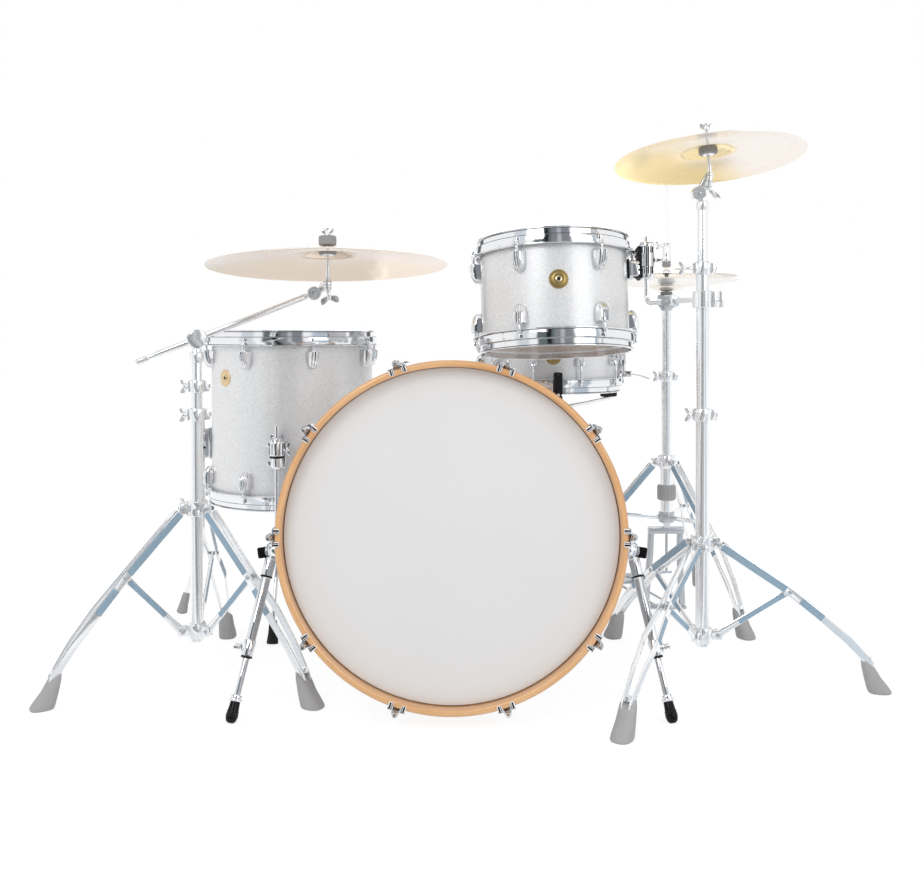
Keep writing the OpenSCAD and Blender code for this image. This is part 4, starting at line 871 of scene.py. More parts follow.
def floor_tom():
    drum = "floor_tom", "kit", "floor", at(*FLOOR_AT), FLOOR_R, FLOOR_DEPTH
    badged_shell(*drum, -133.2, 0.745, BRASS_PALE)
    hoops(*drum)
    two_heads(*drum[3:]).done("floor_tom_heads", "kit", ["floor_heads"], "film")
    p = Piece(at(*FLOOR_AT))
    lug_set(p, FLOOR_R, FLOOR_DEPTH, FLOOR_RODS, 22.5)
    for a in FLOOR_TURNS:
        place = turn("Z", a)
        leg = place @ at(FLOOR_LEG_R)
        p.slab((7, 40, 80), place @ at(FLOOR_R + 4, 0, 132), CHROME, 3)
        p.slab((20, 28, 70), place @ at(FLOOR_R + 14, 0, 132), STEEL, 4)
        p.lathe([(5.1, 122), (14, 122), (16.4, 124), (17, 128), (17, 152), (15.6, 158), (12, 163),
                 (5.1, 165)], CHROME, leg, 36, True)
        p.lathe([(5.1, 94), (12, 94), (14.4, 97), (14.8, 101), (13.4, 112), (13, 119), (5.1, 119)], CHROME,
                leg, 36, True)
        p.lathe([(5.1, 118.5), (16.5, 118.5), (16.5, 122.5), (5.1, 122.5)], BLACK, leg, 36, True)
        for k in range(7):
            p.slab((2, 1.6, 26), leg @ turn("Z", k * 30 - 90) @ at(16.6, 0, 140), BLACK, 0.6)
        for z in (104, 148):
            p.slab((13, 12, 15), place @ at(FLOOR_LEG_R - 4, -17, z), CHROME, 3)
        p.slab((15, 14, 22), place @ at(FLOOR_LEG_R - 2, 19, 146), CHROME, 4)
        p.rod((FLOOR_LEG_R, 8, 140), (FLOOR_LEG_R, 30, 140), 4, CHROME, 16, place)
        p.wing(place @ at(FLOOR_LEG_R, 26, 140) @ turn("X", -90) @ turn("Z", 90), CHROME, 16, 9)
    p.done("floor_tom_fittings", "kit", ["floor_fittings"], "chrome")
    for i, a in enumerate(FLOOR_TURNS, 1):
        p = Piece(at(FLOOR_AT.x, FLOOR_AT.y, 0) @ turn("Z", a))
        r = FLOOR_LEG_R
        p.sweep([(r, 0, 495), (r, 0, 300), (r, 0, 165), (r + 1.6, 0, 152), (r + 5, 0, 140), (r + 26, 0, 96),
                 (r + 30.5, 0, 86), (r + 33, 0, 77), (r + 50, 0, 20)],
                (5, 5), (CHROME, CHROME, PALE)[i - 1], (0, 1, 0))
        rubber = (BLACK, BLACK, GREY_RUBBER)[i - 1]
        boot = along((r + 53.5, 0, 0), (r + 41, 0, 50))
        p.lathe([(0, 0), (10.6, 0), (12.6, 1.2), (13.2, 4), (12.8, 10), (11, 22), (10, 40), (8.6, 50),
                 (7, 52.5), (0, 52.5)], rubber, boot, 32)
        p.lathe([(13.3, 2.6), (13.8, 4), (13.2, 5.4)], rubber, boot, 32)
        clip_to_floor(p)
        p.done(f"floor_tom_leg_{i}", f"floor_leg_{i}", [f"floor_leg_{i}"], "chrome")


def clip_to_floor(p):
    """Flatten what a foot pushes below the floor."""
    inverse = p.base.inverted()
    for i, point in enumerate(p.points):
        world = p.base @ point
        if world.z < 0:
            world.z = 0
            p.points[i] = inverse @ world


def snare():
    drum = "snare_drum", "snare", "snare", IN_SNARE, SNARE_R, SNARE_DEPTH
    badged_shell(*drum, -74.8, 0.5, BRASS)
    p = two_heads(*drum[3:])
    for k in range(WIRES):
        y = (k - (WIRES - 1) / 2) * 2.2
        coil = [(-150 + i * 2.5, y + 0.7 * math.sin(i * 1.9),
                 -2.2 - 0.6 * math.cos(i * 1.9)) for i in range(121)]
        p.sweep(coil, (0.45, 0.45), STEEL, (0, 1, 0), None, False)
    for s in (-1, 1):
        p.slab((9, 46, 1.2), at(s * 153, 0, -2.4), CHROME, 0.4)
    p.done("snare_drum_heads", "snare", ["snare_heads"], "film")
    hoops(*drum)
    p = Piece(IN_SNARE)
    for flip in (at(0, 0, SNARE_DEPTH), flip_z()):
        for i in range(SNARE_RODS):
            place = flip @ turn("Z", 18 + i * 360 / SNARE_RODS)
            tension_rod(p, place @ at(SNARE_R + ROD_OUT), -62)
    for i in range(SNARE_RODS):
        place = turn("Z", 18 + i * 360 / SNARE_RODS)
        for side in (at(SNARE_R, 0, SNARE_DEPTH / 2 + 24), at(SNARE_R, 0, SNARE_DEPTH / 2 - 24) @ flip_z()):
            lug_shape(p, place @ side, 24.2, 10.5, 21)
    p.slab((8, 34, 66), at(SNARE_R + 4.6, 0, 59), CHROME, 3)
    p.slab((16, 24, 54), at(SNARE_R + 13, 0, 62), CHROME, 4)
    p.rod((SNARE_R + 14, 0, 86), (SNARE_R + 14, 0, 100), 6, STEEL)
    for s in (-1, 1):
        p.slab((20, 3.6, 16), at(SNARE_R + 25, s * 10, 35), CHROME, 1.2)
    p.rod((SNARE_R + 27, -12.5, 35), (SNARE_R + 27, 12.5, 35), 2.5, STEEL)
    p.slab((14, 28, 46), at(-SNARE_R - 7.2, 0, 56), CHROME, 4)
    for z in (44, 66):
        p.rod((-SNARE_R - 12, 0, z), (-SNARE_R - 16.5, 0, z), 3.4, STEEL, 16)
    p.done("snare_drum_fittings", "snare", ["snare_fittings"], "chrome")
    p = Piece(IN_SNARE)
    hinge = Vector((SNARE_R + 27, 0, 35))
    p.pipe(5.6, 2.6, -6, 6, CHROME, at(*hinge) @ turn("X", 90), 24, 0.5)
    tip = [hinge + Vector((4 + t * 52 * cosd(14), 0, -t * 52 * sind(14) + 2.2 * math.sin(t * 3.1))) for t in
           (0, 0.2, 0.45, 0.7, 0.9, 1)]
    p.sweep(tip, lambda i: (3.4 + 0.4 * i, 2.0), CHROME, (0, 0.05, 1))
    p.done("snare_throw_lever", "snare_lever", ["snare_lever"], "chrome")


def snare_support():
    p = Piece(at(SNARE_AT.x, SNARE_AT.y, 0))
    p.pipe(12.7, 11.06, 62, 420, PALE, None, 40)
    p.lathe([(0, 62), (11, 62), (12.4, 63), (12.4, 66), (0, 66)], BLACK, None, 32)
    p.lathe(ring(12.9, 21, 286, 314), PALE, None, 40, True)
    p.lathe(ring(12.9, 19, 70, 92), PALE, None, 40, True)
    clamp(p, 420, 12.7, 90)
    fixed_legs(p, SNARE_TURNS, (20, 13.2, 18), 300, [(16, 0, 80), (60, 0, 129), (110, 0, 185)], 222)
    p.done("snare_stand_base", "kit", ["snare_stand"], "steel")
    p = Piece(at(SNARE_AT.x, SNARE_AT.y, 0))
    p.pipe(11, 8.8, 250, 512, PALE, None, 36)
    p.lathe([(0, 498), (18, 498), (22, 501), (24, 506), (24, 516), (20, 521), (0, 522)], PALE, None, 40)
    for a in (-90, 30, 150):
        place = turn("Z", a)
        p.sweep([(18, 0, 511), (120, 0, 522), (196, 0, 533), (206, 0, 537), (211, 0, 545), (212, 0, 560),
                 (212, 0, 612)], (5, 4), PALE, (0, 1, 0), place)
        p.slab((17, 22, 56), place @ at(208.6, 0, 588), BLACK, 5)
        p.slab((46, 21, 23), place @ at(195, 0, 548), BLACK, 5)
        for k in range(5):
            p.slab((1.6, 19, 3), place @ at(217.4, 0, 568 + k * 9), BLACK, 0.8)
    p.done("snare_stand_basket", "snare", ["snare_basket"], "steel")


# ------------------------------------------------------------------ stands

def clamp(p, top, r, heading, bolt=4):
    """Tube clamp: split sleeve, lug blocks each side and a winged screw."""
    p.lathe(ring(r + 0.1, r + 3.6, top - 26, top, 1, 1.4), PALE, None, 40, True)
    place = turn("Z", heading)
    p.slab((15, 15, 22), place @ at(-r - 6.5, 0, top - 13), PALE, 3)
    p.slab((7, 15, 22), place @ at(r + 3, 0, top - 13), PALE, 2)
    p.rod((-r - 13, 0, top - 13), (-r - 16, 0, top - 13), 4.4, PALE_DARK, 6, place)
    p.rod((r + 5, 0, top - 13), (r + 9 + bolt, 0, top - 13), 3.6, PALE, 16, place)
    p.wing(place @ at(r + 9 + bolt, 0, top - 13) @ turn("Y", 90), PALE, 14, 9)


def knee(high, low):
    """Radius and height of the joint between a leg and its brace."""
    return PIVOT_R + math.sqrt(LINK ** 2 - ((high - low) / 2) ** 2), (high + low) / 2


def leg_shape(p, place, high, knee_r, knee_z, foot_r):
    """Pair of pressed steel strips from the collar to a moulded rubber foot."""
    ankle = Vector((foot_r - 28, 0, 58))
    knee_at = Vector((knee_r, 0, knee_z))
    bow = Vector((knee_z - ankle.z, 0, ankle.x - knee_r)).normalized()
    mid = knee_at.lerp(ankle, 0.36) + bow * 5
    shin = knee_at.lerp(ankle, 0.7) + bow * 6
    for s in (-1, 1):
        g = BAR_GAP
        stations = [(PIVOT_R, s * g, high), (knee_r, s * 8.5, knee_z),
                    (mid.x, s * 15, mid.z), (shin.x, s * 11.5, shin.z), (ankle.x, s * 8, ankle.z),
                    (ankle.x + 3, s * 7, ankle.z - 14)]
        path = []
        for a, b in zip(stations, stations[1:]):
            path += [Vector(a).lerp(Vector(b), t) for t in (0.06, 0.35, 0.65, 0.94)]
        widths = [8.8 - 0.08 * i for i in range(len(path))]
        p.sweep(path, lambda i: (widths[i], 2.0), PALE, (0, 1, 0), place)
        # painted reflection: a blue-grey strip on each outer face of the leg, for the light the flat steel
        # reflects
        for first, last in ((0, 3), (5, 8)):
            flat = [off(q, 0, s * 1.9, 0) for q in path[first:last + 1]]
            p.sweep(flat, (7.0, 0.45), REFLECTION_STRIP, (0, 1, 0), place)
        for x, y, z in stations[:2]:
            p.lathe([(0, 3.4), (2.4, 3.2), (4.4, 2), (5, 0), (0, 0)], PALE_DARK,
                    place @ at(x, y + s * 1.6, z) @ turn("X", -90 * s), 18)
    for x, z, half in ((PIVOT_R, high, g), (knee_r, knee_z, 8.5)):
        p.rod((x, -half - 1, z), (x, half + 1, z), 3, PALE_DARK, 14, place)
    toe = shin.lerp(ankle, 0.8)
    p.rod((toe.x, -10.5, toe.z), (toe.x, 10.5, toe.z), 2.6, PALE, 14, place)
    rubber_foot(p, place, ankle, foot_r)


def fixed_legs(p, turns, lug, high, brace, foot_r):
    """Legs and braces made as part of a stand's base; the lug's inner face is 14 mm from the axis."""
    for a in turns:
        place = turn("Z", a)
        p.slab(lug, place @ at(14 + lug[0] / 2, 0, high), PALE, 2)
        p.sweep(brace, (6, 2.2), PALE, (0, 1, 0), place)
        leg_shape(p, place, high, brace[-1][0], brace[-1][2], foot_r)


def rubber_foot(p, place, ankle, foot_r):
    """Moulded foot: a boot round the strips, drawn out to a toe on the outside."""
    rings, steps = [], 28
    for z, near, far, half, lean in (
            (60, -40, -22, 12.5, 7), (58, -43.5, -18.5, 15.2, 7), (47, -42.5, -13, 16.4, 5),
            (33, -39.5, -6, 17.2, 3), (20, -36, 3, 18.4, 1), (10, -33, 10, 19.2, 0),
            (3.4, -31, 14, 19.4, 0), (0.8, -29.5, 13, 18.2, 0), (0.05, -26, 9, 15.5, 0)):
        mid, reach = foot_r + (near + far) / 2, (far - near) / 2
        ring = []
        for k in range(steps):
            c, s = math.cos(2 * math.pi * k / steps), math.sin(2 * math.pi * k / steps)
            x = reach * squared(c, 0.78)
            ring.append((mid + x, half * squared(s, 0.78), z - lean * x / reach))
        rings.append(ring)
    p.loft(rings, GREY_RUBBER, place)
    p.sweep([(ankle.x - 3, 0, 71), (ankle.x - 2, 0, 63)], (8, 7), PALE, (0, 1, 0), place, False)


def brace_shape(p, high, low):
    """Pressed bar from the lower pivot to the knee."""
    k_r, k_z = knee(high, low)
    a, b = Vector((PIVOT_R, 0, low)), Vector((k_r, 0, k_z))
    path = [a.lerp(b, t) for t in (0, 0.06, 0.2, 0.5, 0.8, 0.94, 1)]
    widths = (8.0, 8.0, 6.6, 6.2, 6.6, 8.0, 8.0)
    p.sweep(path, lambda i: (widths[i], 3.0), PALE, (0, 1, 0))
    for s in (-1, 1):
        # painted reflection: blue-grey strips on both faces of the brace
        p.sweep([a.lerp(b, t) + Vector((0, s * 2.9, 0)) for t in (0.3, 0.6, 0.92)],
                (5.2, 0.45), REFLECTION_STRIP, (0, 1, 0))
    for end in (a, b):
        for s in (-1, 1):
            p.lathe([(0, 1.6), (3, 1.5), (4.6, 0.6), (5, 0), (0, 0)], PALE_DARK,
                    at(*off(end, 0, s * 3, 0)) @ turn("X", -90 * s), 18)


def tripod(name, where, turns, high, low, foot_r, tube_r):
    """Three legs and braces, and the collar that slides on the tube."""
    for i, a in enumerate(turns, 1):
        place = at(*where) @ turn("Z", a)
        p = Piece(place)
        leg_shape(p, Matrix.Identity(4), high, *knee(high, low), foot_r)
        p.done(f"{name}_stand_leg_{i}", f"{name}_leg_{i}", [f"{name}_leg_{i}"], "leg_steel")
        p = Piece(place)
        brace_shape(p, high, low)
        p.done(f"{name}_stand_brace_{i}", f"{name}_brace_{i}", [f"{name}_brace_{i}"], "chrome")
    p = Piece(at(*where))
    p.lathe([(tube_r + 0.1, high - 15), (20.5, high - 15), (22, high - 13.5), (22, high - 5), (21, high - 3),
             (21, high + 3), (22, high + 5), (22, high + 13.5), (20.5, high + 15), (tube_r + 0.1, high + 15)],
            PALE, None, 48, True)
    for a in turns:
        p.slab((18, 9, 22), turn("Z", a) @ at(27.5, 0, high), PALE, 3)
    side = turn("Z", turns[0] + 60)
    p.rod((18, 0, high + 4), (42, 0, high + 4), 4, PALE, 16, side)
    p.wing(side @ at(40, 0, high + 4) @ turn("Y", 90), PALE, 13, 9)
    p.done(name + "_stand_collar", name + "_collar", [name + "_collar"], "chrome")


def base_tube(p, turns, low, top, r, bore, heading):
    """Lowest tube of a stand, with the ring that the braces pivot on."""
    p.pipe(r, bore, low - 23, top, PALE, None, 48)
    p.lathe([(0, low - 24), (r - 2, low - 24), (r - 0.2, low - 22), (r - 0.2, low - 18), (0, low - 18)],
            PALE_DARK, None, 32)
    p.lathe(ring(r + 0.1, 20, low - 16, low + 12), PALE, None, 48, True)
    clamp(p, top, r, heading)
    for a in turns:
        place = turn("Z", a)
        for s in (-1, 1):
            p.slab((22, 3.4, 19), place @ at(27, s * 5.6, low), PALE, 1.4)
            p.lathe([(0, 2), (3, 1.8), (4.6, 0.6), (5, 0), (0, 0)], PALE_DARK,
                    place @ at(PIVOT_R, s * 7.3, low) @ turn("X", -90 * s), 18)


def stand_tubes(name, where, turns, low, heading, outer, middle, bolt=4):
    """Base tube (top, r, bore) and the tube that slides in it (r, bore, bottom, top), with their clamps."""
    p = Piece(at(*where))
    base_tube(p, turns, low, *outer, heading)
    p.done(name + "_stand_tube", "kit", [name + "_tube"], "chrome")
    p = Piece(at(*where))
    p.pipe(*middle, PALE, None, 40)
    clamp(p, middle[3], middle[0], heading, bolt)
    p.done(name + "_stand_middle_tube", name + "_mid", [name + "_mid_tube"], "chrome")


def cymbal(name, body, node, base, r, rise, bell_r, bell_h, metal):
    """Cymbal with a thin rounded rim, a curved bow and a domed bell."""
    top = []
    for i in range(25):
        u = i / 24
        top.append((r - u * (r - bell_r), rise * sind(90 * u)))
    for u in (0.93, 0.86, 0.76, 0.64, 0.5, 0.36, 0.24):
        top.append((bell_r * u, rise + bell_h * (1 - max((u - 0.1) / 0.9, 0) ** 2.4) * 0.98))
    top.append((CYMBAL_HOLE, rise + bell_h))
    upper = [(q, z + 1.4) for q, z in top]
    upper[0] = (r - 0.2, 1.1)
    top[0] = (r - 0.2, 0.3)
    outline = [(r, 0.7)] + upper + top[::-1]
    p = Piece(base)
    p.lathe(outline, metal, None, 160, closed=True)
    p.done(name, body, [node], "bronze", 60)


def stem_top(p, base, down, low_felt, up_felt, spare=0):
    """Top of a cymbal stand: stem, washer, two felts, cap and wing nut."""
    seat, nut = low_felt[0], up_felt[1]
    p.rod((0, 0, -down), (0, 0, nut + 3), 4, PALE, 20, base)
    p.rod((0, 0, nut), (0, 0, nut + 17 + spare), 3, PALE_DARK, 14, base)
    for low, high in (low_felt, up_felt):
        p.lathe([(4, low), (17, low), (18.6, low + 1.2), (19, (low + high) / 2), (18.6, high - 1.2),
                 (17, high), (4, high)], GREY_FELT, base, 40)
    p.lathe([(0, seat - 3.2), (9, seat - 3.2), (12, seat - 1.4), (12, seat), (0, seat)], PALE, base, 32)
    p.lathe([(0, nut), (8, nut), (8, nut + 2), (5.6, nut + 7), (0, nut + 7)], PALE, base, 24)
    p.wing(base @ at(0, 0, nut + 8 + spare), PALE, 13, 10)


def knuckle_half(p, place, s):
    """Toothed disc of a tilter; s = -1 is the fixed half, on the camera's side."""
    z0, z1, bore = (0.3, 9.6, 3.2) if s > 0 else (-9, -0.1, 3)
    p.lathe([(bore, z0), (13.4, z0), (14.5, z0 + 1), (14.5, z1 - 1.8), (12.8, z1), (bore, z1)], PALE,
            place @ turn("X", -90), 40, True)
    p.lathe([(8.6, z0 - 0.2), (9.8, z0 - 0.2), (9.8, z0 + 0.6), (8.6, z0 + 0.6)], PALE_DARK,
            place @ turn("X", -90), 40, True)
    for k in range(TEETH):
        p.slab((4.6, 0.8, 0.9), place @ turn("Y", k * 360 / TEETH) @ at(11.6, 0.55 * s, 0), PALE_DARK, 0.2)


def knuckle_pin(p, place):
    """Bolt through both discs of a tilter, with its domed head and its nut."""
    p.rod((0, -9, 0), (0, 12, 0), 3, PALE_DARK, 16, place)
    p.lathe([(0, 0), (6, 0), (6, 1.8), (4.4, 3), (0, 3)],
            PALE_DARK, place @ at(0, 10.2, 0) @ turn("X", -90), 20)
    p.lathe([(0, 0), (5, 0), (5, 1.4), (3.6, 2.2), (0, 2.2)], PALE_DARK,
            place @ at(0, -8.8, 0) @ turn("X", 90), 6)


def left_stand():
    tripod("left", LEFT_AT, LEFT_TURNS, LEFT_HIGH, LEFT_LOW, LEFT_FOOT, 12.7)
    stand_tubes("left", LEFT_AT, LEFT_TURNS, LEFT_LOW, 200, (559, 12.7, 11.06), (11, 9.6, 330, 617))
    p = Piece(at(*LEFT_AT))
    p.rod((0, 0, 400), (0, 0, 682), 9.5, PALE, 36)
    p.lathe([(9.6, 653), (12.8, 653), (13.8, 655), (13.8, 672), (12, 675), (9.6, 675)], PALE, None, 40, True)
    side = turn("Z", BOOM_TURN)
    hub = side @ at(0, 0, BOOM_Z) @ turn("X", -90)
    p.lathe([(0, -9), (14, -9), (18, -7.6), (19.2, -4), (19.4, 0), (19, 6), (18, 8.8), (0, 9)], PALE, hub, 48)
    p.lathe([(16.4, 8.9), (17.6, 8.4), (17.6, 9.4), (16.4, 9.6)], PALE_DARK, hub, 48)
    p.rod((0, 8, BOOM_Z), (0, BOOM_SIDE - 8, BOOM_Z), 4, PALE_DARK, 20, side)
    p.done("left_stand_upper_tube", "left_upper", ["left_upper_tube"], "chrome")

    p = Piece(IN_BOOM)
    front = turn("X", 90)
    p.lathe([(4.2, -13), (17.4, -13), (19.2, -11), (19.4, 6), (18, 12), (15, 13.8), (4.2, 14)],
            PALE, front, 48, True)
    for k in range(TEETH):
        p.slab((4, 1.1, 1.2), turn("Y", k * 360 / TEETH) @ at(16.4, -13.9, 0), PALE_DARK, 0.3)
    p.pipe(12, BOOM_R + 0.1, -20, 20, PALE, turn("Y", 90), 40, 1.4)
    p.rod((0, 10, 0), (0, 30, 0), 4, PALE, 16)
    p.wing(at(0, 30, 0) @ turn("X", -90), PALE, 15, 10)
    p.done("left_stand_boom_clamp", "boom_clamp", ["boom_clamp"], "chrome")
    p = Piece(IN_BOOM)
    p.rod((-BOOM_BACK + 40, 0, 0), (BOOM_FRONT - 16, 0, 0), BOOM_R, PALE, 28)
    p.rod((-BOOM_BACK + 20, 0, 0), (-BOOM_BACK + 46, 0, 0), 4, PALE, 20)
    p.rod((-BOOM_BACK, 0, 0), (-BOOM_BACK + 26, 0, 0), 5.5, PALE, 28)
    for k in range(5):
        p.lathe([(5.45, 0), (5.9, 0.8), (5.45, 1.6)],
                PALE_DARK, at(-BOOM_BACK + 3 + k * 4.4) @ turn("Y", 90), 28)
    p.rod((BOOM_FRONT - 22, -4, 0), (BOOM_FRONT - 8, -4.7, 0), 4.2, PALE, 20)
    knuckle_half(p, at(BOOM_FRONT), -1)
    knuckle_pin(p, at(BOOM_FRONT))
    p.done("left_stand_boom", "boom_arm", ["boom_arm"], "chrome")

    hole = LEFT_CYMBAL @ at(0, 0, 41)
    p = Piece()
    place = at(*BOOM_END) @ turn("Z", BOOM_TURN)
    knuckle_half(p, place, 1)
    low = Vector((-306, -189.4, 815))
    p.sweep([off(BOOM_END, 9, 10.6, 4), off(BOOM_END, 14, 10.6, 9), off(low, -5, 3, 1), off(low, 1, 1, 7)],
            lambda i: ((5, 4.4), (7, 4.6), (10.5, 5.4), (8.5, 5.4))[i], PALE, (0.2, 1, 0))
    for t in (-5, 0, 5):
        p.sweep([off(BOOM_END, 10 - t * 0.5, 14.8, 5 + t), off(low, -5 - t * 0.5, 8.6, 1 + t)], (0.8, 0.7),
                PALE_DARK, (0.2, 1, 0))
    p.rod(off(low, 0, -0.4, -12), off(low, 0, 0.8, 15), 8.4, PALE, 28)
    for z in (-7, 0, 7):
        p.lathe([(8.3, z - 0.9), (9.0, z), (8.3, z + 0.9)], PALE_DARK, at(*low), 28)
    screw = along(off(low, 0, 2, -8), off(low, 4, 2, -30))
    p.rod(off(low, 0, 2, -8), off(low, 4, 2, -30), 4, PALE, 16)
    p.wing(screw @ turn("Z", 90) @ at(0, 0, 20), PALE, 20, 13)
    stem_top(p, hole, 78, (-14, -2.5), (5.5, 25))
    p.done("left_cymbal_tilter", "left_tilter", ["left_tilter"], "chrome")
    cymbal("left_ride_cymbal", "left_cymbal", "left_cymbal", LEFT_CYMBAL, 254, 25, 60, 16, BRONZE_PINK)


def right_stand():
    tripod("right", RIGHT_AT, RIGHT_TURNS, RIGHT_HIGH, RIGHT_LOW, RIGHT_FOOT, 14)
    stand_tubes("right", RIGHT_AT, RIGHT_TURNS, RIGHT_LOW, 180, (560, 14, 12.36), (12.3, 9.6, 340, 857), 18)
    p = Piece()
    p.rod(off(RIGHT_AT, 0, 0, 620), off(RIGHT_AT, 0, 0, 979), 9.5, PALE, 36)
    p.lathe([(9.6, 962), (11, 962), (12, 964), (12, 977), (11, 979.4), (0, 979.6)], PALE, at(*RIGHT_AT), 40)
    p.sweep([off(RIGHT_AT, 0, -5, 974), off(RIGHT_AT, -3, -5, 984), off(KNUCKLE, 0, -4.6, -4)], (9, 3.8),
            PALE, (0, 1, 0))
    knuckle_half(p, at(*KNUCKLE), -1)
    knuckle_pin(p, at(*KNUCKLE))
    p.done("right_stand_upper_tube", "right_upper", ["right_upper_tube"], "chrome")

    hole = RIGHT_CYMBAL @ at(0, 0, 31)
    spot = hole.translation
    foot = off(spot, 3.4, -5.8, -64)
    p = Piece()
    knuckle_half(p, at(*KNUCKLE), 1)
    p.sweep([off(KNUCKLE, 5, 10.6, 7), KNUCKLE.lerp(foot, 0.5) + Vector((1, 7, 1)), off(foot, 0, 1, 6)],
            lambda i: ((5, 4.4), (9.5, 5), (9, 5.4))[i], PALE, (0, 1, 0))
    for t in (-5, 0, 5):
        p.sweep([off(KNUCKLE, 5 + t * 0.8, 13, 5 - t * 0.8), off(foot, t * 0.8, 7, -8 - t * 0.5)], (0.8, 0.7),
                PALE_DARK, (0, 1, 0))
    p.rod(off(foot, -4, 4, -28), off(foot, 0, 0, 9), 7.4, PALE, 28)
    for t in (0.2, 0.5, 0.8):
        c = (off(foot, -4, 4, -28)).lerp(off(foot, 0, 0, 9), t)
        p.lathe([(7.3, -0.9), (8.0, 0), (7.3, 0.9)], PALE_DARK, along(c, off(foot, 0, 0, 12)), 28)
    p.rod(off(foot, 0, 2, -28), off(foot, 13, 2, -39), 4, PALE, 16)
    p.wing(along(off(foot, 12, 2, -38), off(foot, 20, 2, -45)), PALE, 15, 11)
    stem_top(p, hole, 62, (-18, -3.5), (5, 17), 12)
    p.done("right_cymbal_tilter", "right_tilter", ["right_tilter"], "chrome")
    cymbal("right_crash_cymbal", "right_cymbal", "right_cymbal", RIGHT_CYMBAL, 190.5, 17, 52, 14, BRONZE_GOLD)


# ------------------------------------------------------------------ hi-hat

def chain(p, a, b):
    """Roller chain between two points: paired side plates and rollers."""
    a, b = Vector(a), Vector(b)
    count = max(int((b - a).length / CHAIN_PITCH), 2)
    frame_at = along(a, b)
    step = (b - a).length / count
    half = step * 0.62
    outline = [(2.6, -half), (2.6, half), (-2.6, half), (-2.6, -half)]
    for i in range(count):
        z = (i + 0.5) * step
        for s in (-1, 1):
            p.plate(outline, 1.0, frame_at @ at(0, s * (2.6 + 0.9 * (i % 2)), z) @ turn("X", 90), STEEL, 0.4)
    for i in range(count + 1):
        p.rod((0, -4.2, i * step), (0, 4.2, i * step), 1.8, STEEL, 10, frame_at)


